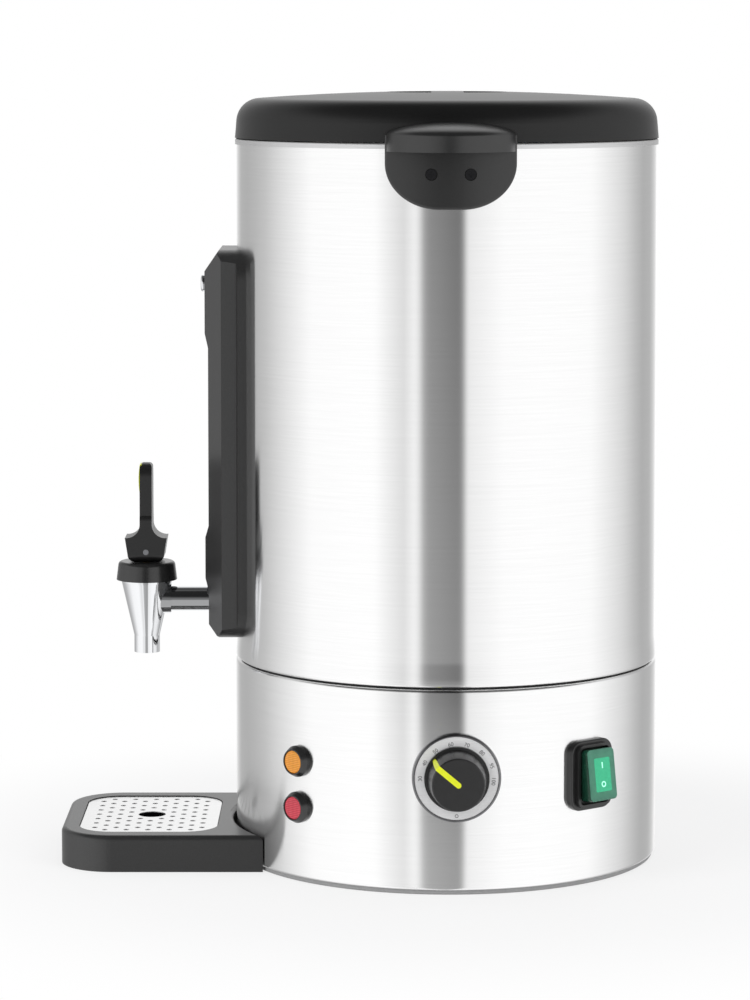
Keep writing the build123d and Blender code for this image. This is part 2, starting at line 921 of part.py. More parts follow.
def gauge_bolt():
    """Domed chrome bolt at the top of the gauge housing, into a nut inside the drum."""
    seat = gauge_front + gauge_pad
    head = rod(gauge_bolt_head, seat, seat + gauge_bolt_proud)
    head = fillet(head.edges().sort_by(Axis.Z)[-1:], gauge_bolt_proud / 2)
    shank = rod(small_thread, drum_radius - sheet - small_head_height, seat)
    nut_seat = drum_radius - sheet - sheet_fit
    nut = rod(small_head, nut_seat - small_head_height, nut_seat)
    nut = side_on(nut, gauge_bolt_place) & rod(drum_radius - sheet, 0, rim_top)
    return side_on(head + shank, gauge_bolt_place) + nut


# Tap
def at_tap(shape):
    """Move a piece built on the vertical axis to the tap's own axis."""
    return Pos(-tap_reach, 0) * shape


def tap_shank():
    """Threaded tube from the tap body through the gauge tee into the tank."""
    boss_end = tap_reach - boss_length
    shank = tube(shank_radius, shank_bore, shank_end, boss_end)
    shank += tube(shank_spigot_radius, shank_bore, boss_end, boss_end + shank_spigot_length)
    return side_on(shank, tap_height) - gauge_port_bore()


def tap_nut():
    """Hexagon nut on the shank inside the tank."""
    outer = tank_radius - sheet - tap_washer
    outline = hexagon(tap_nut_width) - Circle(shank_radius)
    nut = Pos(0, 0, outer - tap_nut_height) * extrude(outline, tap_nut_height)
    return side_on(nut, tap_height)


def tap_seals():
    """Silicone washer inside the tank and sleeve between the tank and the drum."""
    inside = tube(tap_washer_radius, shank_radius, tank_radius - sheet - tap_washer, tank_radius)
    inside = side_on(inside, tap_height) & rod(tank_radius - sheet, 0, rim_top)
    between = tube(tap_washer_radius, shank_radius, tank_radius - tap_washer, drum_radius)
    between = side_on(between, tap_height) & tube(drum_radius - sheet, tank_radius, 0, rim_top)
    return inside, between


def tap_body():
    """Chromed body: a cone that runs into a straight spout, hollow inside."""
    cone_low = spout_low + spout_length
    cone_high = cone_low + cone_height
    body = turned(
        (0, spout_low),
        (spout_radius, spout_low),
        (spout_radius, cone_low),
        (cone_radius, cone_high),
        (cone_radius, cone_high + collar_height),
        (0, cone_high + collar_height),
    )
    body = at_tap(body) + side_on(rod(boss_radius, tap_reach - boss_length, tap_reach), tap_height)
    chamber_end = cone_high + collar_height + cut_over
    hollow = turned(
        (0, chamber_floor),
        (chamber_foot_radius, chamber_floor),
        (chamber_radius, cone_high),
        (chamber_radius, chamber_end),
        (0, chamber_end),
    )
    body -= at_tap(hollow)
    body -= at_tap(rod(spout_bore, spout_low - cut_over, chamber_floor + cut_over))
    mouth = tap_reach - boss_length
    body -= side_on(rod(shank_bore, mouth - cut_over, tap_reach - chamber_foot_radius / 2), tap_height)
    spigot = rod(shank_spigot_radius + shank_clearance, mouth - cut_over, mouth + shank_spigot_length)
    return body - side_on(spigot, tap_height)


def tap_bonnet():
    """Black cap screwed onto the body, with a hole for the valve stem."""
    low = bonnet_low
    top = low + bonnet_height
    cap = turned(
        (0, low), (bonnet_radius, low), (bonnet_radius - bonnet_draft, top), (0, top)
    )
    cap = fillet(cap.edges().group_by(Axis.Z)[-1], bonnet_round)
    cap -= rod(cone_radius + bonnet_fit, low - cut_over, top - bonnet_wall)
    cap -= rod(valve_stem_radius + valve_clearance, low, top + cut_over)
    return at_tap(cap)


def tap_lever():
    """Lever: a broad head with rounded foot corners, concave shoulders and a flat stem."""
    low = head_low
    shoulder = low + head_top
    neck = shoulder + neck_rise
    foot = head_foot_half - head_corner
    tip = lever_top - lever_tip_round
    tip_half = stem_half - lever_tip_round
    half = [
        Line((0, low), (foot, low)),
        RadiusArc((foot, low), (head_foot_half, low + head_corner), -head_corner),
        Line((head_foot_half, low + head_corner), (head_half, shoulder)),
        TangentArc((stem_half, neck), (head_half, shoulder), tangent=(0, -1)),
        Line((stem_half, neck), (stem_half, tip)),
        RadiusArc((stem_half, tip), (tip_half, lever_top), -lever_tip_round),
        Line((tip_half, lever_top), (0, lever_top)),
        Line((0, lever_top), (0, low)),
    ]
    right = make_face(half)
    outline = right + mirror(right, Plane.YZ)
    lever = extrude(Plane.XZ * outline, head_depth, both=True)

    head = Pos(0, shoulder) * RectangleRounded(head_depth, 2 * (shoulder - low), head_corner)
    paddle = Pos(0, (lever_top + low) / 2) * RectangleRounded(paddle_width, lever_top - low, paddle_round)
    lever = lever & extrude(Plane.YZ * (head + paddle), head_half + cut_over, both=True)

    pivot = pin_height
    hollow = rod(valve_ball_radius + valve_clearance, low - cut_over, pivot)
    hollow += Pos(0, 0, pivot) * Sphere(valve_ball_radius + valve_clearance)
    slot = valve_stem_radius + valve_clearance
    hollow += box((-slot_reach, -slot, low - cut_over), (slot, slot, pivot))
    lever -= hollow
    lever -= Pos(0, 0, pivot) * Rot(90, 0, 0) * Cylinder(pin_radius, head_depth + 2 * cut_over)
    return at_tap(lever - insert_form(0))


def insert_form(shrink):
    """Lime insert in the lever's outer face, a flat lens in side view."""
    back = -stem_half + insert_sink
    top = lever_top - insert_drop
    low = top - insert_length
    middle = (low + top) / 2
    edge = Polyline((-stem_half, top), (back, top), (back, low), (-stem_half, low))
    bulge = ThreePointArc((-stem_half, low), (-stem_half - insert_proud, middle), (-stem_half, top))
    face = make_face(edge.edges() + bulge.edges())
    return extrude(Plane.XZ * face, insert_width / 2 - shrink, both=True)


def tap_lever_insert():
    """The insert itself."""
    return at_tap(insert_form(sheet_fit))


def tap_pin():
    """Pin through the lever's head and the ball on the valve stem."""
    return at_tap(Pos(0, 0, pin_height) * Rot(90, 0, 0) * Cylinder(pin_radius, head_depth))


def tap_stem():
    """Valve stem with a spring collar and a cross-drilled ball at its top."""
    low = valve_cup_top - cup_height / 2
    collar = valve_cup_top + collar_rise
    stem = rod(valve_stem_radius, low, pin_height)
    stem += rod(spring_radius + spring_wall, collar - stem_collar_height, collar)
    stem += Pos(0, 0, pin_height) * Sphere(valve_ball_radius)
    stem -= Pos(0, 0, pin_height) * Rot(90, 0, 0) * Cylinder(pin_radius + pin_clearance, head_depth)
    return at_tap(stem)


def tap_valve_cup():
    """Silicone cup that closes the outlet."""
    top = valve_cup_top
    low = top - cup_height
    lip = cup_height / 3
    side = [(cup_radius - lip, low), (cup_radius, low + lip), (cup_radius - lip, top)]
    cup = turned((0, low), *side, (0, top))
    return at_tap(cup - rod(valve_stem_radius, top - cup_height / 2, top + cut_over))


def tap_spring():
    """Return spring round the valve stem, drawn as a sleeve of its outer size."""
    low = valve_cup_top + collar_rise
    high = bonnet_low + bonnet_height - bonnet_wall
    return at_tap(tube(spring_radius, spring_radius - spring_wall, low, high))


# Drip tray
def tray_cut(wall):
    """Round cut that follows the base, a little wider in the middle than at the tips."""
    half = tray_width / 2
    middle = base_radius + tray_gap_middle
    at_tip = base_radius + tray_gap_tip
    tip = math.sqrt(at_tip**2 - half**2)
    centre = (at_tip**2 - middle**2) / (2 * (middle - tip))
    return Pos(centre, 0) * rod(centre + middle + wall, -2 * cut_over, tray_height + cut_over)


def tray_block(inset, low, high):
    """Tray outline with two round outer corners, drawn in by an inset."""
    length = tray_end - base_radius / 2
    plan = Pos(-tray_end + length / 2 + inset / 2, 0) * Rectangle(length - inset, tray_width - 2 * inset)
    plan = fillet(plan.vertices().group_by(Axis.X)[0], tray_round - inset)
    return Pos(0, 0, low) * extrude(plan, high - low)


def plate_block(inset, low, high):
    """Drip plate outline, drawn in by an inset."""
    plan = RectangleRounded(plate_length - 2 * inset, plate_width - 2 * inset, plate_round - inset)
    return Pos(-plate_centre, 0, low) * extrude(plan, high - low)


def drip_tray():
    """Moulded tray: a basin under the plate, a deck round it and an open underside."""
    block = tray_block(0, 0, tray_height) - tray_cut(0)
    block = fillet(block.edges().group_by(Axis.Z)[-1], tray_edge)
    seat = tray_height - plate_sink - plate_thickness - piece_gap
    block -= plate_block(-plate_side_gap, seat, tray_height + cut_over)
    block -= plate_block(plate_ledge, tray_wall, tray_height + cut_over)
    under = tray_block(tray_wall, -cut_over, tray_height - 2 * tray_wall) - tray_cut(tray_wall)
    under -= plate_block(plate_ledge - tray_wall, -2 * cut_over, tray_height)
    return block - under


def drip_plate():
    """Perforated stainless plate with staggered drain holes and one centre hole."""
    columns = int((plate_length / 2 - drain_margin) / drain_pitch)
    rows = int((plate_width / 2 - drain_margin) / drain_pitch)
    straight_x = plate_length / 2 - plate_round
    straight_y = plate_width / 2 - plate_round
    plan = RectangleRounded(plate_length, plate_width, plate_round) - Circle(plate_hole)
    drains = []
    for i in range(-columns, columns + 1):
        for j in range(-rows, rows + 1):
            x = i * drain_pitch
            y = j * drain_pitch
            out = math.hypot(max(abs(x) - straight_x, 0), max(abs(y) - straight_y, 0))
            inside = out <= plate_round - drain_margin
            clear = math.hypot(x, y) > plate_hole + 2 * drain_radius
            if (i + j) % 2 and inside and clear:
                drains.append(Pos(x, y) * RegularPolygon(drain_radius, 6))
    top = tray_height - plate_sink
    place = Pos(-plate_centre, 0, top - plate_thickness)
    return place * extrude(plan - drains, plate_thickness)


# Pilot lamps
def lamp_bezels():
    """Bezel of each lamp, seated on the curved base and bored for its lens."""
    bore = lamp_lens_radius + lamp_fit
    bezel = turned(
        (bore, base_radius - bend),
        (lamp_bezel_radius, base_radius - bend),
        (lamp_bezel_radius, base_radius + lamp_bezel_foot),
        (lamp_bezel_front_radius, base_radius + lamp_proud),
        (bore, base_radius + lamp_proud),
    )
    base = rod(base_radius, 0, base_top)
    return [at_turn(lamp_angle, height) * bezel - base for height in lamp_heights]


def lamp_lens(height):
    """Coloured lens, seated on the base and over the front of its lamp body."""
    lens = rod(lamp_lens_radius, base_radius - bend, base_radius + lamp_proud)
    lens = fillet(lens.edges().sort_by(Axis.Z)[-1:], lamp_lens_edge)
    lens -= rod(lamp_body_radius, base_radius - 2 * bend, base_radius + lamp_seat)
    return at_turn(lamp_angle, height) * lens - rod(base_radius, 0, base_top)


def lamp_bodies():
    """Neon lamp bodies behind the lenses."""
    body = rod(lamp_body_radius, base_radius - lamp_body_depth, base_radius + lamp_seat)
    return [at_turn(lamp_angle, height) * body for height in lamp_heights]


# Thermostat dial
def dial_ring():
    """Trim ring, seated on the curved base, with a shoulder for the number plate."""
    front = base_radius + dial_ring_proud
    shoulder = dial_front - dial_plate_thickness
    ring = rod(dial_ring_radius, base_radius - 2 * bend, front)
    ring = fillet(ring.edges().sort_by(Axis.Z)[-1:], dial_ring_edge)
    ring -= rod(dial_plate_radius - dial_shoulder, base_radius - 3 * bend, front + cut_over)
    ring -= rod(dial_plate_radius + sheet_fit, shoulder, front + cut_over)
    return at_turn(dial_angle, dial_height) * ring - rod(base_radius, 0, base_top)


def dial_plate():
    """Flat number plate round the knob."""
    low = dial_front - dial_plate_thickness
    plate = tube(dial_plate_radius, spindle_radius + piece_gap, low, dial_front)
    return at_turn(dial_angle, dial_height) * plate


def knob_form(grow):
    """Knob's outer form, a thin skirt and a tapered body, grown by a distance."""
    low = dial_front + knob_gap
    step = low + knob_skirt_height + grow
    front = low + knob_height + grow
    form = turned(
        (0, low),
        (knob_skirt_radius + grow, low),
        (knob_skirt_radius + grow, step),
        (knob_body_radius + grow, step),
        (knob_face_radius + grow, front),
        (0, front),
    )
    return fillet(form.edges().filter_by(GeomType.CIRCLE).sort_by(Axis.Z)[-1:], knob_edge)


def pointer_form():
    """Inlaid bar from the middle of the knob's face over its edge and down its side."""
    low = dial_front + knob_gap
    reach = knob_body_radius + pointer_proud
    bar = Pos((reach - pointer_width / 2) / 2, 0) * SlotOverall(reach + pointer_width / 2, pointer_width)
    bar = Pos(0, 0, low + knob_skirt_height) * extrude(bar, knob_height)
    bar = Rot(0, 0, pointer_angle) * bar
    return (bar & knob_form(pointer_proud)) - knob_form(-pointer_depth)


def knob():
    """Knob, hollow behind, with a boss for the spindle and a groove for the pointer."""
    low = dial_front + knob_gap
    inner = tube(
        knob_face_radius - knob_wall,
        spindle_radius + knob_wall,
        low - cut_over,
        low + knob_height - knob_wall,
    )
    body = knob_form(0) - inner - rod(spindle_radius, low - cut_over, low + spindle_grip)
    return at_turn(dial_angle, dial_height) * (body - pointer_form())


def knob_pointer():
    """The pointer itself."""
    return at_turn(dial_angle, dial_height) * pointer_form()


def knob_spindle():
    """Spindle from the thermostat into the knob's boss."""
    low = base_radius - sheet - thermostat_depth
    return at_turn(dial_angle, dial_height) * rod(spindle_radius, low, dial_front + knob_gap + spindle_grip)


# Rocker switch
def switch_block(width, height, corner, low, high):
    """Block with rounded corners in the switch's own frame, above the base's surface."""
    plan = RectangleRounded(width, height, corner)
    return Pos(0, 0, base_radius + low) * extrude(plan, high - low)


def at_switch(shape):
    """Move a piece from the switch's own frame to its place on the base."""
    return at_turn(switch_angle, switch_height) * shape


def switch_bezel():
    """Bezel seated on the curved base, with a raised frame round the boot."""
    wide = boot_width + 2 * boot_clearance_side
    tall = boot_height + 2 * boot_clearance_end
    bezel = switch_block(bezel_width, bezel_height, bezel_round, -bend, bezel_proud)
    bezel = fillet(bezel.edges().group_by(Axis.Z)[-1], bezel_edge)
    bezel += switch_block(
        wide + 2 * frame_wall, tall + 2 * frame_wall, boot_round + frame_wall, 0, bezel_proud + frame_rise
    )
    bezel -= switch_block(wide, tall, boot_round, bezel_floor, boot_proud)
    bezel -= switch_core(-bend, bezel_floor)
    return at_switch(bezel) - rod(base_radius, 0, base_top)


def switch_core(low, high):
    """Plain outline of the switch body between two depths."""
    plan = Rectangle(switch_body_width, switch_body_height)
    return Pos(0, 0, base_radius + low) * extrude(plan, high - low)


def axle(radius, length):
    """Cylinder across the switch on the rocker's axis."""
    return Pos(0, 0, base_radius + rocker_axis) * Rot(0, 90, 0) * Cylinder(radius, length)


def switch_body():
    """Switch body through the base, with the trough in which the rocker turns."""
    body = switch_core(-switch_body_depth, bezel_floor)
    return at_switch(body - axle(axle_radius + axle_clearance, boot_width))


def tilted(shape):
    """Tilt the rocker's pieces about their axis, lower edge out."""
    up = Pos(0, 0, base_radius + rocker_axis)
    down = Pos(0, 0, -base_radius - rocker_axis)
    return at_switch(up * Rot(-rocker_angle, 0, 0) * down * shape)


def switch_rocker():
    """Lit rocker with its axle."""
    block = switch_block(rocker_width, rocker_height, rocker_round, boot_foot, boot_proud - boot_wall)
    return tilted(block + axle(axle_radius, rocker_width))


def switch_boot():
    """Translucent boot over the rocker."""
    boot = switch_block(boot_width, boot_height, boot_round, boot_foot, boot_proud)
    boot = fillet(boot.edges().group_by(Axis.Z)[-1], boot_edge)
    inner = switch_block(
        boot_width - 2 * boot_wall,
        boot_height - 2 * boot_wall,
        boot_round - boot_wall,
        boot_foot - cut_over,
        boot_proud - boot_wall,
    )
    return tilted(boot - inner)


# Lid
def lid_form(inset):
    """Lid's outer form, drawn in by an inset: upright side, round shoulder, low crown."""
    low = lid_low - inset
    side = lid_radius - inset
    edge = side - lid_shoulder_inset
    shoulder = lid_shoulder - inset
    top = lid_top - inset
    rise = top - shoulder
    crown = (edge**2 + rise**2) / (2 * rise)
    middle = top - crown + math.sqrt(crown**2 - (edge / 2) ** 2)
    outline = make_face(
        [
            Line((0, low), (side, low)),
            Line((side, low), (edge, shoulder)),
            ThreePointArc((edge, shoulder), (edge / 2, middle), (0, top)),
            Line((0, top), (0, low)),
        ]
    )
    corner = outline.vertices().sort_by_distance((edge, shoulder))[0]
    return revolve(Plane.XZ * fillet(corner, lid_edge_round - inset), Axis.Z)


def lid_screw_places(shape):
    """A piece at each of the lid's screw bosses."""
    return around(Pos(lid_boss_circle, 0) * shape, lid_boss_count, lid_boss_angle)


def lid_shell():
    """Moulded lid with a hole for the grip, a steam slot and bosses for the inner plate."""
    shell = lid_form(0) - lid_form(lid_wall)
    inside = lid_form(lid_wall / 2)
    shell += [boss & inside for boss in lid_screw_places(rod(lid_boss_radius, pan_top, lid_top))]
    shell -= lid_screw_places(rod(small_thread, pan_top - cut_over, pan_top + lid_screw_length))
    shell -= rod(well_radius, lid_shoulder - lid_edge_round, lid_top + cut_over)
    below = lid_shoulder - lid_wall - cut_over
    slot = Pos(vent_slot_inset + vent_slot_length / 2 - lid_radius, 0, below)
    shell -= slot * extrude(SlotOverall(vent_slot_length, vent_slot_width), lid_edge_round)
    return shell - Pos(lid_radius - vent_hole_inset, 0) * rod(vent_hole_radius, below, lid_top)


def lid_grip():
    """Round well with a bar across it, flush with the crown, to lift the lid by."""
    floor = lid_top - well_depth
    cup = lid_form(0) & rod(well_radius, floor - well_wall, lid_top + cut_over)
    hollow = rod(well_radius - well_wall, floor, lid_top + cut_over)
    hollow = fillet(hollow.edges().sort_by(Axis.Z)[:1], well_round)
    bar = Pos(0, lid_top) * Rectangle(bar_width, 2 * bar_depth)
    bar = fillet(bar.vertices().group_by(Axis.Y)[0], bar_round)
    bar = extrude(Plane.XZ * bar, well_radius, both=True)
    return cup - (hollow - bar)


def lid_inner_plate():
    """Stainless inner plate: a shallow pan with a flange over the seal."""
    flange = pan_top + inner_plate_drop - inner_plate_sheet / 2
    pan_radius = tank_radius - sheet - inner_plate_fit - inner_plate_sheet / 2
    floor = pan_top - inner_plate_sheet / 2
    plate = turned_sheet(
        [(0, floor), (pan_radius, floor), (pan_radius, flange), (inner_plate_edge, flange)],
        bend,
        inner_plate_sheet,
    )
    return plate - lid_screw_places(rod(small_thread + sheet_fit, floor - bend, floor + bend))


def lid_seal():
    """Silicone ring under the inner plate's flange, above the tank's rim."""
    low = rim_top + piece_gap
    return tube(inner_plate_edge, inner_plate_edge - seal_width, low, low + seal_height)


def lid_screws():
    """Screws that hold the inner plate to the lid's bosses."""
    seat = pan_top - inner_plate_sheet
    screw = rod(small_head, seat - small_head_height, seat)
    screw = screw + rod(small_thread, seat, pan_top + lid_screw_length)
    return lid_screw_places(screw)


os.makedirs("parts", exist_ok=True)

save("base_shell", base_shell())
save("foot_ring", foot_ring())
save("base_plate", base_plate())
save("seam_gasket", seam_gasket())
save("seam_screws", *seam_screws())
save("outer_drum", outer_drum())
save("inner_tank", inner_tank())
save("heat_plate", heat_plate())
save("heating_element", heating_element())
save("tie_rods", *tie_rods())
save("tie_rod_nuts", *tie_rod_nuts())
save("boil_dry_cutout", boil_dry_cutout())
save("thermostat_body", thermostat_body())
save("thermostat_bulb", thermostat_bulb())
save("terminal_block", terminal_block())
save("cable_gland", cable_gland())
save("gland_nut", gland_nut())
save("front_handle", handle(0))
save("back_handle", handle(180))
save("handle_screws", *handle_screws())
save("handle_nut_plates", *handle_nut_plates())
save("gauge_frame", gauge_frame())
save("gauge_cover", gauge_cover())
save("sight_tube", sight_tube())
save("gauge_scale", gauge_scale())
save("gauge_tee", gauge_tee())
save("gauge_cap", gauge_cap())
save("gauge_bolt", gauge_bolt())
save("tap_shank", tap_shank())
save("tap_nut", tap_nut())
save("tap_seals", *tap_seals())
save("tap_body", tap_body())
save("tap_bonnet", tap_bonnet())
save("tap_stem", tap_stem())
save("tap_valve_cup", tap_valve_cup())
save("tap_spring", tap_spring())
save("tap_lever", tap_lever())
save("tap_lever_insert", tap_lever_insert())
save("tap_pin", tap_pin())
save("drip_tray", drip_tray())
save("drip_plate", drip_plate())
save("lamp_bezels", *lamp_bezels())
save("red_lens", lamp_lens(lamp_heights[0]))
save("amber_lens", lamp_lens(lamp_heights[1]))
save("lamp_bodies", *lamp_bodies())
save("dial_ring", dial_ring())
save("dial_plate", dial_plate())
save("knob", knob())
save("knob_pointer", knob_pointer())
save("knob_spindle", knob_spindle())
save("switch_bezel", switch_bezel())
save("switch_body", switch_body())
save("switch_rocker", switch_rocker())
save("switch_boot", switch_boot())
save("lid_shell", lid_shell())
save("lid_grip", lid_grip())
save("lid_inner_plate", lid_inner_plate())
save("lid_seal", lid_seal())
save("lid_screws", *lid_screws())
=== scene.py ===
# %% [markdown]
# # A water boiler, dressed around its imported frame
# The frame is the finished CAD model: every node sits where the real part sits, in metres, and already rides on
# the body that moves it. This lesson adds what CAD leaves out: a camera where the photographer stood, a studio,
# the finishes of steel, chrome and moulded plastic, and the small pieces that only the eye needs, such as the
# numbers round the dial.

# %% Load the frame
import math

import bmesh
import bpy
from mathutils import Matrix, Vector


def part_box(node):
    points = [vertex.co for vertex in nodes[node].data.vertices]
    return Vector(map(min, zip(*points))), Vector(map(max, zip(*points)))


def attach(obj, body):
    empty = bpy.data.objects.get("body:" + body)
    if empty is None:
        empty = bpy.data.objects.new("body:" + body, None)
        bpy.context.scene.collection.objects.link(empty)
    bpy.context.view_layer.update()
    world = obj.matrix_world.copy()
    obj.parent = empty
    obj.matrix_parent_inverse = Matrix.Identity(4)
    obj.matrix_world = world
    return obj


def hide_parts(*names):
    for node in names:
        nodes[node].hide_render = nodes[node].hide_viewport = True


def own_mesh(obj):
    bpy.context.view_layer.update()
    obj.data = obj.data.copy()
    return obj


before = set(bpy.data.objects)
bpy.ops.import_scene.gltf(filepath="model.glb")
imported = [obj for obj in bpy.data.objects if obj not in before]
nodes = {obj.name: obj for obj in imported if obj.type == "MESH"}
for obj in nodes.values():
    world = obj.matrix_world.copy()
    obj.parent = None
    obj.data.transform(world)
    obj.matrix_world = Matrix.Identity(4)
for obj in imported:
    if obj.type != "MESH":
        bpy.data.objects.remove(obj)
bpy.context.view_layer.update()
MM = 0.001

# %% [markdown]
# ## The camera
# The boiler was photographed from 2.68 m in front of the drum's axis and 52 mm left of it, with the lens a
# little above the lid. Upright edges stay nearly upright in the picture, so the camera looks down by only
# four and a half degrees, and the lens is shifted for the rest. A long lens keeps the drum from bulging.

# %% Place the camera
# Where the lens stands, in metres, how far it looks down, and its shift as a share of the picture's height.
CAMERA_PLACE = (-0.0516, -2.6776, 0.5825)
LOOK_DOWN = math.radians(4.5)
LENS_SHIFT = -0.1583
FOCAL_PIXELS = 3710.8
PICTURE_HEIGHT_PIXELS = 1000
SENSOR = 36.0
FARTHEST_SEEN = 30

camera_data = bpy.data.cameras.new("photographer")
camera_data.sensor_fit = "VERTICAL"
camera_data.sensor_height = SENSOR
camera_data.lens = FOCAL_PIXELS * SENSOR / PICTURE_HEIGHT_PIXELS
camera_data.shift_y = LENS_SHIFT
camera_data.clip_end = FARTHEST_SEEN
camera = bpy.data.objects.new("photographer", camera_data)
bpy.context.scene.collection.objects.link(camera)
camera.location = CAMERA_PLACE
camera.rotation_euler = (math.pi / 2 - LOOK_DOWN, 0, 0)
bpy.context.scene.camera = camera
bpy.context.scene.view_settings.view_transform = "Standard"
print("lens", round(camera_data.lens, 1), "mm")

# %% [markdown]
# ## Helpers for every finish
# Colours are written as they look on a screen, and one function turns them to the linear numbers that a
# renderer works with. A second adds a node, sets it and links it, so that a finish reads from top to bottom
# like a recipe. A third starts a material.


# %% Colour and node helpers
def linear(hex_colour):
    """The linear colour of an sRGB hex value such as #c8c8c6."""
    parts = [int(hex_colour[i : i + 2], 16) / 255 for i in (1, 3, 5)]
    return tuple(c / 12.92 if c <= 0.04045 else ((c + 0.055) / 1.055) ** 2.4 for c in parts) + (1.0,)


def add(tree, kind, settings=None, **sockets):
    """Adds a node. settings are its own properties. A socket goes by its name, with _ for a space, or by its
    number as in0, in1 and so on, and takes a value or a link."""
    node = tree.nodes.new("ShaderNode" + kind)
    for name, value in (settings or {}).items():
        setattr(node, name, value)
    for name, value in sockets.items():
        numbered = name.startswith("in") and name[2:].isdigit()
        socket = node.inputs[int(name[2:]) if numbered else name.replace("_", " ")]
        if isinstance(value, bpy.types.NodeSocket):
            tree.links.new(value, socket)
        else:
            socket.default_value = value
    return node


def finish(name, colour, **sockets):
    """A new material: its tree, and its shader with the colour and the other sockets set."""
    material = bpy.data.materials.new(name)
    material.use_nodes = True
    tree = material.node_tree
    shader = tree.nodes["Principled BSDF"]
    shader.inputs["Base Color"].default_value = linear(colour)
    for socket, value in sockets.items():
        shader.inputs[socket.replace("_", " ")].default_value = value
    return material, tree, shader


print("white is", linear("#ffffff")[:3])

# %% [markdown]
# ## Helpers for every piece
# A piece is drawn face by face, or as a curve that Blender fills. Both end as a mesh, which is then shown.


# %% Mesh helpers
def drawn_mesh(name, form):
    """The mesh of a form that was drawn face by face."""
    mesh = bpy.data.meshes.new(name)
    form.to_mesh(mesh)
    form.free()
    return mesh


def curve_mesh(curve):
    """The mesh of a flat curve or a line of figures."""
    drawn = bpy.data.objects.new(curve.name, curve)
    bpy.context.scene.collection.objects.link(drawn)
    bpy.context.view_layer.update()
    mesh = bpy.data.meshes.new_from_object(drawn.evaluated_get(bpy.context.evaluated_depsgraph_get()))
    bpy.data.objects.remove(drawn)
    return mesh


def show(name, mesh, *materials):
    """The piece that shows a mesh in those materials."""
    for material in materials:
        mesh.materials.append(material)
    piece = bpy.data.objects.new(name, mesh)
    bpy.context.scene.collection.objects.link(piece)
    return piece


# %% [markdown]
# ## The studio
# A polished cylinder shows the room more than itself, so the room decides how the drum looks. White walls
# stand left and right, and the dark gap between them is where the photographer stands: it is the dark upright
# band on the drum. Behind the boiler is a white sheet, and between the sheet and the side walls the room is
# grey, which darkens the drum's edges. The ceiling is dim. Light for matt surfaces is plain and even. The
# world's colour for glossy rays is worked out from their direction, and the camera sees plain white.

# %% Light the room
world = bpy.data.worlds.new("studio")
bpy.context.scene.world = world
world.use_nodes = True
room = world.node_tree
room.nodes.clear()

# How white the room is at each angle round the boiler, in degrees; 0 is towards the camera.
WALL_LEVELS = [
    (-180, 1.0),
    (-167, 0.70),
    (-154, 0.43),
    (-142, 0.41),
    (-130, 0.45),
    (-118, 0.52),
    (-80, 0.95),
    (-40, 1.0),
    (-24, 0.70),
    (-18, 0.92),
    (-16, 0.80),
    (-13, 0.30),
    (-10, 0.20),
    (5.8, 0.10),
    (7.8, 0.18),
    (10.3, 0.84),
    (30, 1.0),
    (84, 0.95),
    (112, 0.66),
    (124, 0.50),
    (134, 0.41),
    (147, 0.43),
    (157, 0.60),
    (168, 0.90),
    (180, 1.0),
]
# A ray that slopes down meets white floor. The floor's share grows from the first slope to the second.
FLOOR_START, FLOOR_END, FLOOR_SHARE = -0.05, -0.17, 0.3
# The floor only shows like this in front, where it fades out between these angles in radians.
FRONT_START, FRONT_END = 0.5, 0.9
# The ceiling dims from the first upward slope to the second, down to this level, and hangs lower in front.
DIM_START, DIM_END, DIM_LEVEL, DIM_LEAN = 0.40, 0.76, 0.1, -0.35
# How strongly the room lights glossy surfaces, and how strongly its even light falls on matt ones.
GLOSS_STRENGTH, SOFT_STRENGTH = 1.12, 0.62

direction = add(room, "TexCoord").outputs["Generated"]
along = add(room, "SeparateXYZ", Vector=direction).outputs
toward_camera = add(room, "Math", {"operation": "MULTIPLY"}, in0=along["Y"], in1=-1.0).outputs[0]
around = add(room, "Math", {"operation": "ARCTAN2"}, in0=along["X"], in1=toward_camera).outputs[0]
share_of_turn = add(
    room, "MapRange", Value=around, From_Min=-math.pi, From_Max=math.pi, To_Min=0.0, To_Max=1.0
).outputs[0]
walls = add(room, "ValToRGB", Fac=share_of_turn)
stops = walls.color_ramp.elements
stops.remove(stops[1])
for i, (angle, level) in enumerate(WALL_LEVELS):
    stop = stops[0] if i == 0 else stops.new(angle / 360 + 0.5)
    stop.position = angle / 360 + 0.5
    stop.color = (level, level, level, 1)
floor_by_slope = add(
    room,
    "MapRange",
    {"interpolation_type": "SMOOTHSTEP"},
    Value=along["Z"],
    From_Min=FLOOR_END,
    From_Max=FLOOR_START,
    To_Min=FLOOR_SHARE,
    To_Max=0.0,
).outputs[0]
facing = add(room, "Math", {"operation": "ABSOLUTE"}, in0=around).outputs[0]
in_front = add(
    room, "MapRange", Value=facing, From_Min=FRONT_START, From_Max=FRONT_END, To_Min=1.0, To_Max=0.0
).outputs[0]
floor_share = add(room, "Math", {"operation": "MULTIPLY"}, in0=floor_by_slope, in1=in_front).outputs[0]
walls_and_floor = add(
    room, "MixRGB", Fac=floor_share, Color1=walls.outputs["Color"], Color2=linear("#f0f0f0")
).outputs[0]
backward = add(room, "Math", {"operation": "MULTIPLY"}, in0=along["Y"], in1=DIM_LEAN).outputs[0]
height = add(room, "Math", {"operation": "ADD"}, in0=along["Z"], in1=backward).outputs[0]
dim_overhead = add(
    room,
    "MapRange",
    {"interpolation_type": "SMOOTHSTEP"},
    Value=height,
    From_Min=DIM_START,
    From_Max=DIM_END,
    To_Min=1.0,
    To_Max=DIM_LEVEL,
).outputs[0]
wall_light = add(
    room, "MixRGB", {"blend_type": "MULTIPLY"}, Fac=1.0, Color1=walls_and_floor, Color2=dim_overhead
).outputs[0]
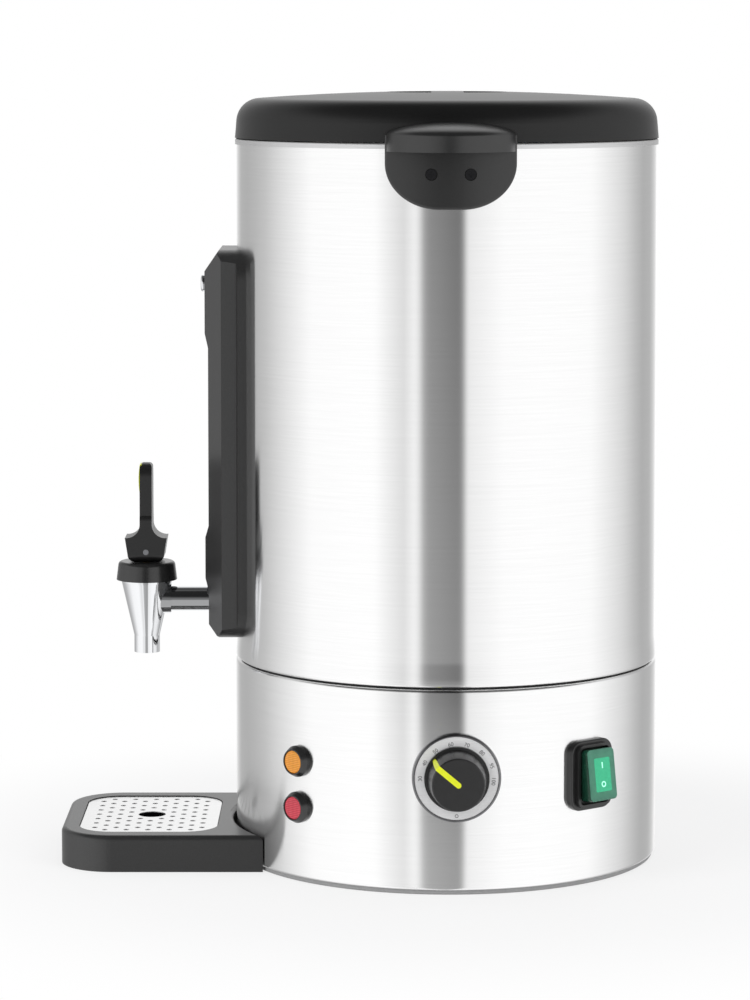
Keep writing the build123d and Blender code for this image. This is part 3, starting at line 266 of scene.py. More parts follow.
seen_in_gloss = add(room, "Background", Color=wall_light, Strength=GLOSS_STRENGTH).outputs[0]
seen_plain = add(room, "Background", Color=linear("#ffffff"), Strength=1.0).outputs[0]
soft_light = add(room, "Background", Color=linear("#fdfdff"), Strength=SOFT_STRENGTH).outputs[0]
rays = add(room, "LightPath").outputs
clear_view = add(
    room, "Math", {"operation": "MAXIMUM"}, in0=rays["Is Camera Ray"], in1=rays["Is Transmission Ray"]
).outputs[0]
light_or_view = add(room, "MixShader", in0=clear_view, in1=soft_light, in2=seen_plain).outputs[0]
all_rays = add(room, "MixShader", in0=rays["Is Glossy Ray"], in1=light_or_view, in2=seen_in_gloss).outputs[0]
add(room, "OutputWorld", Surface=all_rays)
print("studio walls:", len(WALL_LEVELS), "levels")

# %% [markdown]
# Three big soft lamps give the shapes their shading: one high on the left and in front, a weaker one on the
# right, and a faint one overhead. They aren't seen in the gloss, because the walls already stand there.

# %% Hang the lamps
BOILER_MIDDLE = (-0.05, 0, 0.28)


def soft_lamp(name, place, size, watts):
    """A square of light that looks at the boiler and isn't seen itself."""
    data = bpy.data.lights.new(name, "AREA")
    data.shape = "RECTANGLE"
    data.size, data.size_y = size
    data.energy = watts
    lamp = bpy.data.objects.new(name, data)
    bpy.context.scene.collection.objects.link(lamp)
    lamp.location = place
    lamp.rotation_euler = (Vector(BOILER_MIDDLE) - Vector(place)).to_track_quat("-Z", "Y").to_euler()
    lamp.visible_camera = False
    lamp.visible_glossy = False


soft_lamp("lamp_left", (-1.9, -1.7, 1.9), (1.6, 1.6), 30)
soft_lamp("lamp_right", (1.9, -1.6, 1.5), (1.4, 1.8), 16)
soft_lamp("lamp_top", (0, 0.4, 2.4), (2.0, 2.0), 5)
print("lamps:", len(bpy.data.lights))

# %% [markdown]
# The floor is one wide white sheet. It shows a faint shadow and no edge: most of what the camera sees of it is
# plain white, and the rest is its real, shaded colour.

# %% Lay the floor
FLOOR_HALF = 8.0
FLOOR_BELOW = 0.2 * MM
# Close to the boiler, this much of the floor is plain white; from the far radius on, all of it is.
BARE_NEAR, BARE_FAR, BARE_SHARE = 0.25, 0.5, 0.72
sheet = bmesh.new()
bmesh.ops.create_grid(sheet, x_segments=8, y_segments=8, size=FLOOR_HALF)
# White card: matt, so that the shadow on it is soft and nothing is mirrored.
white_card, tree, shader = finish("white_card", "#f4f4f4", Roughness=0.9, Specular_IOR_Level=0.1)
view = add(tree, "LightPath").outputs
bare = add(tree, "Emission", Color=linear("#ffffff"), Strength=1.0).outputs[0]
place = add(tree, "TexCoord").outputs["Object"]
away = add(tree, "VectorMath", {"operation": "LENGTH"}, in0=place).outputs["Value"]
bareness = add(
    tree,
    "MapRange",
    {"interpolation_type": "SMOOTHSTEP"},
    Value=away,
    From_Min=BARE_NEAR,
    From_Max=BARE_FAR,
    To_Min=BARE_SHARE,
    To_Max=1.0,
).outputs[0]
share = add(tree, "Math", {"operation": "MULTIPLY"}, in0=view["Is Camera Ray"], in1=bareness).outputs[0]
mixed = add(tree, "MixShader", in0=share, in1=shader.outputs[0], in2=bare).outputs[0]
tree.links.new(mixed, tree.nodes["Material Output"].inputs["Surface"])
floor = show("floor", drawn_mesh("floor", sheet), white_card)
floor.location = (0, 0, -FLOOR_BELOW)
floor.visible_glossy = False
print("floor laid")

# %% [markdown]
# ## Stainless steel, brushed round the drum
# The sheet is ground with a belt before it is rolled, so its scratches run round the drum. A scratch spreads
# light across itself: highlights stretch up and down and stay sharp sideways. The shader's anisotropy does
# this with a tangent that runs round the upright axis. Real scratches are a few hundredths of a millimetre
# apart; these are drawn at about half a millimetre so that they show.


# %% Make the steels
def streaks(tree, across, along_length, axis="Z"):
    """Noise stretched into lines: across is the gap between lines in metres, along_length their length."""
    place = add(tree, "TexCoord").outputs["Object"]
    scale = [1 / along_length] * 3
    scale["XYZ".index(axis)] = 1 / across
    stretched = add(tree, "Mapping", Vector=place, Scale=scale).outputs[0]
    return add(tree, "TexNoise", Vector=stretched, Scale=1.0, Detail=4.0, Roughness=0.65).outputs[0]


def tint(tree, shader, pattern, dark, light):
    """Lets the base colour go from dark to light with the pattern."""
    ramp = add(tree, "ValToRGB", Fac=pattern)
    low, high = ramp.color_ramp.elements
    low.position, high.position = 0.25, 0.75
    low.color, high.color = linear(dark), linear(light)
    tree.links.new(ramp.outputs[0], shader.inputs["Base Color"])


SCRATCH_GAP = 0.55 * MM
SCRATCH_LENGTH = 60 * MM

# Belt-ground stainless sheet: bright walls and a dark band, drawn out up and down by the fine scratches.
brushed_steel, tree, shader = finish(
    "stainless_steel_brushed",
    "#f6f6f6",
    Metallic=1.0,
    Roughness=0.16,
    Anisotropic=1.0,
    Anisotropic_Rotation=0.25,
)
tint(tree, shader, streaks(tree, SCRATCH_GAP, SCRATCH_LENGTH), "#f3f3f3", "#f9f9f9")
tangent = add(tree, "Tangent", {"direction_type": "RADIAL", "axis": "Z"}).outputs[0]
tree.links.new(tangent, shader.inputs["Tangent"])

# Drawn stainless sheet inside the tank: a dull grey that shows the drum's depth instead of the room.
satin_steel, tree, shader = finish("stainless_steel_satin", "#d8d8d8", Metallic=0.85, Roughness=0.4)
tint(tree, shader, streaks(tree, 1.2 * MM, 40 * MM), "#d0d0d0", "#e0e0e0")

# Stainless drip plate, brushed from side to side: lies flat, so it looks almost white.
plate_steel, tree, shader = finish("stainless_steel_drip_plate", "#f0f0f0", Metallic=1.0, Roughness=0.3)
tint(tree, shader, streaks(tree, 0.5 * MM, 60 * MM, "Y"), "#ececec", "#fafafa")

# Zinc plate on screws, nuts and the spring: a bluish grey with cloudy crystals.
zinc, tree, shader = finish("zinc_plated_steel", "#a4a5a8", Metallic=1.0, Roughness=0.34)
crystals = add(tree, "TexNoise", Scale=900.0, Detail=3.0).outputs[0]
tint(tree, shader, crystals, "#94959a", "#b4b5b8")

# Chrome plate on the tap: mirrors the room in sharp black and white, with the least trace of polishing.
chrome, tree, shader = finish("chrome_plate", "#eeeff1", Metallic=1.0, Roughness=0.045)
place = add(tree, "TexCoord").outputs["Object"]
haze = add(tree, "TexNoise", Vector=place, Scale=160.0, Detail=2.0).outputs[0]
polish = add(tree, "Bump", Strength=0.05, Distance=0.2 * MM, Height=haze).outputs[0]
tree.links.new(polish, shader.inputs["Normal"])

# Black zinc on the handle's screws: a dark metal glint in the bottom of each recess.
black_zinc, tree, shader = finish("zinc_plated_black_steel", "#3a3a3c", Metallic=1.0, Roughness=0.3)
dull = add(tree, "TexNoise", Scale=700.0, Detail=3.0).outputs[0]
tint(tree, shader, dull, "#343436", "#424244")
print("steels made")

# %% [markdown]
# ## Moulded black plastic
# Lid, handles, gauge cover and tray are glass-filled nylon or polypropylene from a spark-eroded mould, which
# leaves a fine leathery grain a few tenths of a millimetre wide. The grain breaks up the reflections, so the
# pieces look satin. The bonnet and the knob come from a smoother mould.


# %% Make the plastics
def grain(tree, shader, size, depth, strength):
    """A moulded grain: rounded pits of that size and depth, in metres."""
    place = add(tree, "TexCoord").outputs["Object"]
    pits = add(tree, "TexNoise", Vector=place, Scale=1 / size, Detail=2.0, Roughness=0.5).outputs[0]
    bump = add(tree, "Bump", Strength=strength, Distance=depth, Height=pits).outputs[0]
    tree.links.new(bump, shader.inputs["Normal"])
    return pits


# Glass-filled nylon of the handles and the switch's frame: black, with a broad satin sheen.
black_nylon, tree, shader = finish(
    "nylon_black_satin", "#1c1c1c", Roughness=0.32, IOR=1.55, Specular_IOR_Level=0.6
)
tint(tree, shader, grain(tree, shader, 0.7 * MM, 0.05 * MM, 0.35), "#1a1a1a", "#1f1f1f")

# The lid's nylon: duller, and painted blacker than the handles' nylon as painted shade, so that its crown stays
# dark under the lamps.
lid_nylon_shaded, tree, shader = finish(
    "nylon_black_lid_shaded", "#131313", Roughness=0.36, IOR=1.5, Specular_IOR_Level=0.36
)
tint(tree, shader, grain(tree, shader, 0.7 * MM, 0.05 * MM, 0.35), "#111111", "#161616")

# Polypropylene of the tray and the gauge: a greyer, waxy black.
black_polypropylene, tree, shader = finish(
    "polypropylene_black_satin", "#2b2b2b", Roughness=0.32, IOR=1.5, Specular_IOR_Level=0.7
)
tint(tree, shader, grain(tree, shader, 0.8 * MM, 0.04 * MM, 0.3), "#272727", "#2f2f2f")

# Smooth ABS of the knob and the tap's bonnet: black, with narrow bright highlights.
smooth_black, tree, shader = finish(
    "abs_black_smooth", "#202020", Roughness=0.24, IOR=1.54, Specular_IOR_Level=0.6
)
tint(tree, shader, grain(tree, shader, 6 * MM, 0.03 * MM, 0.12), "#1e1e1e", "#232323")

# Lime ABS of the pointer and the lever's insert: the one loud colour, glossy.
lime, tree, shader = finish("abs_lime_gloss", "#e6ee18", Roughness=0.28)
tint(tree, shader, grain(tree, shader, 4 * MM, 0.02 * MM, 0.1), "#e2ea14", "#ecf424")

# The lid's nylon again, but from just below the crown down the finger wells are matt, and painted near black as
# painted shade in the recesses.
WELL_EDGE_HEIGHT, WELL_EDGE_DEPTH = 551.5 * MM, 1.5 * MM
well_nylon_painted_shade, tree, shader = finish(
    "nylon_black_well", "#101010", Roughness=0.36, IOR=1.5, Specular_IOR_Level=0.36
)
place = add(tree, "TexCoord").outputs["Object"]
well_height = add(tree, "SeparateXYZ", Vector=place).outputs["Z"]
inside = add(
    tree,
    "MapRange",
    Value=well_height,
    From_Min=WELL_EDGE_HEIGHT - WELL_EDGE_DEPTH,
    From_Max=WELL_EDGE_HEIGHT,
    To_Min=1.0,
    To_Max=0.0,
).outputs[0]
# Painted shade: below the crown's edge the wells' colour darkens to near black.
well_painted_shade = add(tree, "MixRGB", Fac=inside, Color1=linear("#131313"), Color2=linear("#060606")).outputs[0]
tree.links.new(well_painted_shade, shader.inputs["Base Color"])
well_dullness = add(
    tree, "MapRange", Value=inside, From_Min=0.0, From_Max=1.0, To_Min=0.36, To_Max=0.85
).outputs[0]
tree.links.new(well_dullness, shader.inputs["Roughness"])

# Phenolic of the thermostat, switch body and terminals: a warm brownish black, dull.
inner_black, tree, shader = finish("phenolic_black", "#2e2c2a", Roughness=0.5)
tint(tree, shader, grain(tree, shader, 1.5 * MM, 0.05 * MM, 0.3), "#282624", "#343230")

# Black rubber of the seals: matt, a dark line wherever two sheets meet.
seal_rubber, tree, shader = finish("rubber_black", "#1a1a1a", Roughness=0.75)
tint(tree, shader, grain(tree, shader, 1.0 * MM, 0.05 * MM, 0.3), "#171717", "#1e1e1e")

# Grey rubber of the foot: only a thin grey line between the steel and the floor.
foot_rubber, tree, shader = finish("rubber_grey", "#a0a0a0", Roughness=0.6)
tint(tree, shader, grain(tree, shader, 1.0 * MM, 0.05 * MM, 0.3), "#9a9a9a", "#a6a6a6")

# Milky silicone of the tap's seals and valve cup: light goes a little way in and blurs.
silicone, tree, shader = finish("silicone_milky", "#d8d8d2", Roughness=0.5, Subsurface_Weight=0.2)
tint(tree, shader, grain(tree, shader, 2.0 * MM, 0.03 * MM, 0.2), "#d2d2cc", "#deded8")
print("plastics made")

# %% [markdown]
# ## Aluminium, brass, trim and glass
# The number plate is satin anodised aluminium, brushed from left to right. The ring round it is dark nickel.
# The heat plate is milled aluminium, and the fittings of the tap and the gauge are turned brass. The gauge has
# a glass tube in front of a white strip.

# %% Make the trim and the glass
# Anodised aluminium of the dial's number plate: pale and flat, so that the figures can be read.
number_plate, tree, shader = finish("aluminium_anodised_silver", "#f2f2f2", Metallic=0.3, Roughness=0.42)
tint(tree, shader, streaks(tree, 0.4 * MM, 30 * MM), "#e8e8e8", "#f8f8f8")

# Dark nickel of the dial's ring: a mirror that is half as bright as chrome.
dark_nickel, tree, shader = finish("nickel_plate_dark", "#808082", Metallic=1.0, Roughness=0.2)
tint(tree, shader, add(tree, "TexNoise", Scale=60.0).outputs[0], "#7a7a7c", "#868688")

# Milled aluminium of the heat plate under the tank: grey, with the cutter's lines.
milled_aluminium, tree, shader = finish("aluminium_milled", "#c8c9cc", Metallic=1.0, Roughness=0.4)
tint(tree, shader, streaks(tree, 1.5 * MM, 25 * MM, "X"), "#bcbdc0", "#d4d5d8")

# Turned brass of the hidden fittings: yellow, with rings from the lathe.
turned_brass, tree, shader = finish("brass_turned", "#c9a45c", Metallic=1.0, Roughness=0.28)
tint(tree, shader, streaks(tree, 0.8 * MM, 20 * MM), "#bd9850", "#d4b068")

# White printed strip behind the gauge's tube: plain and matt, to show the water's level.
white_strip, tree, shader = finish("printed_strip_white", "#e2e2de", Roughness=0.45)
tint(tree, shader, grain(tree, shader, 3 * MM, 0.02 * MM, 0.1), "#dededa", "#e6e6e2")

# Borosilicate glass of the sight tube: clear, with the faint waves of drawn tube.
clear_glass, tree, shader = finish(
    "borosilicate_glass", "#f4faf8", Roughness=0.02, IOR=1.47, Transmission_Weight=1.0
)
wave = add(tree, "TexNoise", Scale=8.0).outputs[0]
drawn_wave = add(tree, "Bump", Strength=0.03, Distance=0.3 * MM, Height=wave).outputs[0]
tree.links.new(drawn_wave, shader.inputs["Normal"])

# Grey screen ink of the figures and lines: dull and slightly uneven.
grey_ink, tree, shader = finish("ink_grey", "#3e3e40", Roughness=0.6)
tint(tree, shader, add(tree, "TexNoise", Scale=500.0).outputs[0], "#464648", "#565658")
print("trim and glass made")

# %% [markdown]
# ## Lit plastics
# The switch and the two lamps are clear or milky plastics with a small light behind them. Each glows a little
# in its own colour and still takes the studio's light on its face.

# %% Make the switch and the lenses
# Green silicone of the switch's boot: milky, so the rocker's light spreads in it.
green_boot, tree, shader = finish(
    "silicone_green_clear", "#5a9e84", Roughness=0.3, IOR=1.41, Transmission_Weight=0.3
)
tint(tree, shader, grain(tree, shader, 5 * MM, 0.05 * MM, 0.15), "#52967c", "#62a68c")

# The same silicone on the boot's thick side walls: a deep bottle green, painted there as shade.
deep_green_shaded, tree, shader = finish(
    "silicone_green_deep", "#1c4a38", Roughness=0.25, IOR=1.41, Transmission_Weight=0.3
)
tint(tree, shader, grain(tree, shader, 5 * MM, 0.05 * MM, 0.15), "#184232", "#20523e")

# Green polycarbonate of the rocker: lit from inside by a small lamp.
green_rocker, tree, shader = finish(
    "polycarbonate_green",
    "#38b888",
    Roughness=0.3,
    Emission_Color=linear("#2fd394"),
    Emission_Strength=0.12,
)
tint(tree, shader, grain(tree, shader, 2 * MM, 0.02 * MM, 0.1), "#32b080", "#3ebf8f")

# Mint ink of the bar and the ring: the brightest spot on the switch, because most light comes through it.
mint_mark, tree, shader = finish(
    "ink_mint", "#b8ffe2", Roughness=0.4, Emission_Color=linear("#a8ffe0"), Emission_Strength=0.5
)
tint(tree, shader, add(tree, "TexNoise", Scale=400.0).outputs[0], "#b0fadc", "#c0ffe8")

# How wide one diamond of the lenses is, and where the lamps sit round the base; the front is at 0.
LENS_DIAMOND = 2.6 * MM
LAMP_ANGLE = math.radians(-43.5)


def diamond_bump_and_highlight(tree, shader):
    """The lens is moulded with small diamonds, which stand on their points and catch the light one by one.
    Their height is returned, to paint a highlight on their tops.
    """
    place = add(tree, "TexCoord").outputs["Object"]
    turned = add(tree, "VectorRotate", {"rotation_type": "Z_AXIS"}, Vector=place, Angle=-LAMP_ANGLE).outputs[0]
    flat = add(tree, "SeparateXYZ", Vector=turned).outputs
    slopes = []
    for operation in ("ADD", "SUBTRACT"):
        slanted = add(tree, "Math", {"operation": operation}, in0=flat["X"], in1=flat["Z"]).outputs[0]
        waves = 2 * math.pi / LENS_DIAMOND
        turns = add(tree, "Math", {"operation": "MULTIPLY"}, in0=slanted, in1=waves).outputs[0]
        slopes.append(add(tree, "Math", {"operation": "SINE"}, in0=turns).outputs[0])
    height = add(tree, "Math", {"operation": "MULTIPLY"}, in0=slopes[0], in1=slopes[1]).outputs[0]
    level = add(tree, "Math", {"operation": "MULTIPLY_ADD"}, in0=height, in1=0.5, in2=0.5).outputs[0]
    bump = add(tree, "Bump", Strength=0.5, Distance=0.25 * MM, Height=level).outputs[0]
    tree.links.new(bump, shader.inputs["Normal"])
    return level


# Amber polycarbonate of the upper lamp: glows softly, with a painted highlight that makes the diamonds' tops
# lighter.
amber_lens, tree, shader = finish(
    "polycarbonate_amber",
    "#f2a324",
    Roughness=0.16,
    Transmission_Weight=0.25,
    Emission_Color=linear("#e08a10"),
    Emission_Strength=0.25,
)
tint(tree, shader, diamond_bump_and_highlight(tree, shader), "#b9741a", "#f4b14a")

# Red polycarbonate of the lower lamp: the same lens, deeper in colour, with the same painted highlight on the
# diamonds' tops.
red_lens, tree, shader = finish(
    "polycarbonate_red",
    "#d02c40",
    Roughness=0.16,
    Transmission_Weight=0.25,
    Emission_Color=linear("#c01830"),
    Emission_Strength=0.2,
)
tint(tree, shader, diamond_bump_and_highlight(tree, shader), "#a82036", "#e65a68")
print("finishes:", len(bpy.data.materials))

# %% [markdown]
# ## Dress the CAD nodes
# Each node already says in its material slot what it is made of. One table turns the slot's name into the
# finish made above. A few pieces get their own.

# %% Put the finishes on
SLOT_FINISH = {
    "brushed_steel": brushed_steel,
    "inner_steel": satin_steel,
    "steel_fasteners": zinc,
    "chrome": chrome,
    "black_plastic": black_nylon,
    "knob_plastic": smooth_black,
    "lime_plastic": lime,
    "dial_silver": number_plate,
    "dark_trim": dark_nickel,
    "green_boot": green_boot,
    "green_lit": green_rocker,
    "amber_lens": amber_lens,
    "red_lens": red_lens,
    "clear_glass": clear_glass,
    "scale_strip": white_strip,
    "seal_rubber": seal_rubber,
    "silicone": silicone,
    "aluminium_plate": milled_aluminium,
    "brass_parts": turned_brass,
    "inner_plastic": inner_black,
}
OWN_FINISH = {
    "tap_bonnet": smooth_black,
    "handle_screws": black_zinc,
    "lamp_bezels": smooth_black,
    "lid_grip": well_nylon_painted_shade,
    "lid_shell": lid_nylon_shaded,
    "drip_tray": black_polypropylene,
    "gauge_cover": black_polypropylene,
    "gauge_frame": black_polypropylene,
}
for name, node in nodes.items():
    for slot in node.material_slots:
        plain_name = slot.material.name.split(".")[0]
        slot.material = OWN_FINISH.get(name) or SLOT_FINISH[plain_name]
print("dressed", len(nodes), "nodes")

# %% [markdown]
# ## Turned and rolled pieces
# The drum, the base, the foot and the groove between them are seen edge-on all round, so their flat facets
# would show along the seam. Each is drawn again as a profile turned in one-degree steps, with the bends of the
# sheet as small arcs. The new piece stands in for the node and keeps its sizes. Only the flare at the drum's
# lower edge is a little longer and gentler, so that it mirrors the walls and not the dim ceiling.

# %% Turn the sheet-metal shells
ARC_POINTS = 5
SHARP_TURN = math.radians(40)


def eased(corners):
    """An outline of (radius, height, bend) corners in mm, each bend drawn as an arc of a few points."""
    line = []
    for i, (radius, height, bend) in enumerate(corners):
        here = Vector((radius, height))
        if not bend:
            line.append(here)
            continue
        before = (Vector(corners[i - 1][:2]) - here).normalized()
        after = (Vector(corners[(i + 1) % len(corners)][:2]) - here).normalized()
        # The arc starts and ends this far from the corner. Its centre is on the line that halves the corner.
        run = bend / math.tan(before.angle(after) / 2)
        centre = here + (before + after).normalized() * math.hypot(run, bend)
        start = here + before * run - centre
        end = here + after * run - centre
        for k in range(ARC_POINTS):
            spoke = start.lerp(end, k / (ARC_POINTS - 1)).normalized() * bend
            line.append(centre + spoke)
    return line


def turned_piece(name, corners, material, body, stands_for, window=None, steps=360):
    """A closed outline turned about the upright axis. window, as (low angle, high angle, low z,
    high z), is left out."""
    line = eased(corners)
    points = []
    for step in range(steps):
        angle = 2 * math.pi * step / steps
        across, toward = math.sin(angle) * MM, -math.cos(angle) * MM
        points += [(p.x * across, p.x * toward, p.y * MM) for p in line]
    count = len(line)
    faces = []
    for step in range(steps):
        # The middle of this step, as an angle from -180 to 180 degrees.
        turn = (step + 0.5) * 360 / steps
        turn = turn - 360 if turn > 180 else turn
        first, second = step * count, (step + 1) % steps * count
        for i in range(count):
            j = (i + 1) % count
            middle = (line[i] + line[j]) / 2
            if window and window[0] < turn < window[1] and window[2] < middle.y < window[3]:
                continue
            faces.append((first + i, second + i, second + j, first + j))
    mesh = bpy.data.meshes.new(name)
    mesh.from_pydata(points, [], faces)
    mesh.update()
    form = bmesh.new()
    form.from_mesh(mesh)
    bmesh.ops.recalc_face_normals(form, faces=form.faces)
    form.to_mesh(mesh)
    form.free()
    mesh.shade_smooth()
    mesh.set_sharp_from_angle(angle=SHARP_TURN)
    piece = show(name, mesh, material)
    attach(piece, body)
    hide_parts(stands_for)
    return piece


# Radii, heights and bends in mm: the CAD model's, apart from the flare's start and end.
SHEET, FLANGE_R = 0.8, 139.5
FOOT_R, FOOT_TOP, FOOT_BEND, FOOT_INNER_BEND = 150.5, 3.0, 1.2, 0.5
BASE_R, BASE_TOP, BASE_BEND, BASE_INNER_BEND = 152.5, 143.4, 2.4, 1.6
SEAM_R, SEAM_TOP, SEAM_BEND = 149.9, 144.6, 0.3
DRUM_R, DRUM_TOP, DRUM_BEND, DRUM_INNER_BEND, DRUM_INNER_LOW = 151.5, 517.1, 1.6, 1.2, 155.0
FLARE, FLARE_START, FLARE_END, FLARE_BEND = 0.8, 149.0, 161.0, 60
# The opening that the switch is set in: its middle, and half its width in degrees. Its upper and lower edges
# are CUT_ROW from the middle, and every face whose own middle is within CUT_HALF_HEIGHT is left out.
SWITCH_ANGLE, SWITCH_HEIGHT = 39.7, 78.3
CUT_HALF_ANGLE, CUT_HALF_HEIGHT, CUT_ROW = 5, 18, 19
base_skin = turned_piece(
    "base_skin",
    [
        (FLANGE_R, FOOT_TOP, 0),
        (BASE_R, FOOT_TOP, BASE_BEND),
        (BASE_R, SWITCH_HEIGHT - CUT_ROW, 0),
        (BASE_R, SWITCH_HEIGHT + CUT_ROW, 0),
        (BASE_R, BASE_TOP, BASE_BEND),
        (FLANGE_R, BASE_TOP, 0),
        (FLANGE_R, BASE_TOP - SHEET, 0),
        (BASE_R - SHEET, BASE_TOP - SHEET, BASE_INNER_BEND),
        (BASE_R - SHEET, SWITCH_HEIGHT + CUT_ROW, 0),
        (BASE_R - SHEET, SWITCH_HEIGHT - CUT_ROW, 0),
        (BASE_R - SHEET, FOOT_TOP + SHEET, BASE_INNER_BEND),
        (FLANGE_R, FOOT_TOP + SHEET, 0),
    ],
    brushed_steel,
    "boiler",
    "base_shell",
    window=(
        SWITCH_ANGLE - CUT_HALF_ANGLE,
        SWITCH_ANGLE + CUT_HALF_ANGLE,
        SWITCH_HEIGHT - CUT_HALF_HEIGHT,
        SWITCH_HEIGHT + CUT_HALF_HEIGHT,
    ),
)
drum_skin = turned_piece(
    "drum_skin",
    [
        (FLANGE_R, SEAM_TOP, 0),
        (DRUM_R + FLARE, SEAM_TOP, DRUM_BEND),
        (DRUM_R + FLARE, FLARE_START, FLARE_BEND),
        (DRUM_R, FLARE_END, FLARE_BEND),
        (DRUM_R, DRUM_TOP, 0),
        (DRUM_R - SHEET, DRUM_TOP, 0),
        (DRUM_R - SHEET, DRUM_INNER_LOW, 0),
        (DRUM_R - SHEET, SEAM_TOP + SHEET, DRUM_INNER_BEND),
        (FLANGE_R, SEAM_TOP + SHEET, 0),
    ],
    brushed_steel,
    "boiler",
    "outer_drum",
)
foot_skin = turned_piece(
    "foot_skin",
    [
        (FLANGE_R, 0.0, FOOT_INNER_BEND),
        (FOOT_R, 0.0, FOOT_BEND),
        (FOOT_R, FOOT_TOP, 0),
        (FLANGE_R, FOOT_TOP, 0),
    ],
    foot_rubber,
    "boiler",
    "foot_ring",
)
seam_skin = turned_piece(
    "seam_skin",
    [
        (FLANGE_R, BASE_TOP, 0),
        (SEAM_R, BASE_TOP, SEAM_BEND),
        (SEAM_R, SEAM_TOP, SEAM_BEND),
        (FLANGE_R, SEAM_TOP, 0),
    ],
    seal_rubber,
    "boiler",
    "seam_gasket",
)
print("turned:", base_skin.name, drum_skin.name, foot_skin.name, seam_skin.name)

# %% [markdown]
# ## The drip plate
# A punched plate has round holes with a slightly rolled edge. A flat curve with holes in it gives exactly
# that: the outline and every hole are closed lines of one curve, which is filled, thickened and bevelled.


# %% Punch the plate
def filled_outline(name, loops, thick, edge, place, material):
    """A flat sheet between closed loops of (x, y) in metres, with rounded edges."""
    curve = bpy.data.curves.new(name, "CURVE")
    curve.dimensions = "2D"
    curve.fill_mode = "BOTH"
    curve.extrude = thick / 2 - edge
    curve.bevel_depth = edge
    curve.bevel_resolution = 1
    curve.offset = -edge
    for loop in loops:
        line = curve.splines.new("POLY")
        line.points.add(len(loop) - 1)
        for point, (x, y) in zip(line.points, loop):
            point.co = (x, y, 0, 1)
        line.use_cyclic_u = True
    mesh = curve_mesh(curve)
    mesh.transform(place)
    mesh.materials.clear()
    return show(name, mesh, material)


def ring_points(x, y, radius, count, start=0.0, turn=2 * math.pi):
    """Points in metres on a circle about (x, y), or on the part of it that turn leaves."""
    return [
        (x + radius * math.cos(start + turn * k / count), y + radius * math.sin(start + turn * k / count))
        for k in range(count)
    ]


def rounded_field(wide, tall, corner, corner_points=8):
    """The outline of an upright field with round corners, from sizes in mm."""
    points = []
    for turn, (x, y) in enumerate([(1, 1), (-1, 1), (-1, -1), (1, -1)]):
        centre = (x * (wide / 2 - corner) * MM, y * (tall / 2 - corner) * MM)
        points += ring_points(*centre, corner * MM, corner_points, turn * math.pi / 2, math.pi / 2)
    return points


# The plate's sizes, the height of its top and its middle, in mm.
PLATE_LONG, PLATE_WIDE, PLATE_ROUND, PLATE_THICK, PLATE_EDGE = 99.0, 128.0, 24.0, 1.0, 0.2
PLATE_X, PLATE_TOP = -214.5, 25.3
PLATE_CORNER_POINTS, CENTRE_HOLE_POINTS, DRAIN_POINTS = 16, 40, 14
# The drain holes stand in staggered rows, clear of the plate's edge and of the hole in its middle.
DRAIN_PITCH, DRAIN_R, CENTRE_HOLE_R, DRAIN_MARGIN, DRAINS_LONG, DRAINS_WIDE = 7.7, 2.0, 9.85, 5.0, 5, 7
straight_x, straight_y = PLATE_LONG / 2 - PLATE_ROUND, PLATE_WIDE / 2 - PLATE_ROUND
loops = [
    rounded_field(PLATE_LONG, PLATE_WIDE, PLATE_ROUND, PLATE_CORNER_POINTS),
    ring_points(0, 0, CENTRE_HOLE_R * MM, CENTRE_HOLE_POINTS),
]
for i in range(-DRAINS_LONG, DRAINS_LONG + 1):
    for j in range(-DRAINS_WIDE, DRAINS_WIDE + 1):
        x, y = i * DRAIN_PITCH, j * DRAIN_PITCH
        out = math.hypot(max(abs(x) - straight_x, 0), max(abs(y) - straight_y, 0))
        clear = math.hypot(x, y) > CENTRE_HOLE_R + 2 * DRAIN_R
        if (i + j) % 2 and out <= PLATE_ROUND - DRAIN_MARGIN and clear:
            loops.append(ring_points(x * MM, y * MM, DRAIN_R * MM, DRAIN_POINTS))
plate_place = Matrix.Translation((PLATE_X * MM, 0, (PLATE_TOP - PLATE_THICK / 2) * MM))
punched_plate = filled_outline(
    "punched_plate", loops, PLATE_THICK * MM, PLATE_EDGE * MM, plate_place, plate_steel
)
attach(punched_plate, "plate")
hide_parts("drip_plate")
print("holes punched:", len(loops) - 1)

# %% [markdown]
# ## Numbers round the dial
# The temperatures are printed in thin grey figures, small and with their tops outward. They are text curves,
# turned to mesh and laid on the plate's front, which leans with the dial a little to the right.

# %% Print the dial
DIAL_ANGLE, DIAL_HEIGHT, DIAL_FRONT = 1.7, 82.5, 155.8
FIGURE_HEIGHT, INK = 3.9, 0.06
OFF_MARK_R, OFF_OUTER_R, OFF_INNER_R, OFF_EDGE, OFF_POINTS = 26.2, 1.25, 0.85, 0.01, 28
# Each figure, its turn round the dial in degrees and its distance from the middle in mm.
NUMBERS = [
    ("30", -90.0, 25.1),
    ("40", -63.8, 24.4),
    ("50", -37.6, 24.0),
    ("60", -9.9, 24.0),
    ("70", 16.9, 24.2),
    ("80", 44.5, 24.8),
    ("95", 70.2, 25.6),
    ("100", 94.6, 25.4),
]
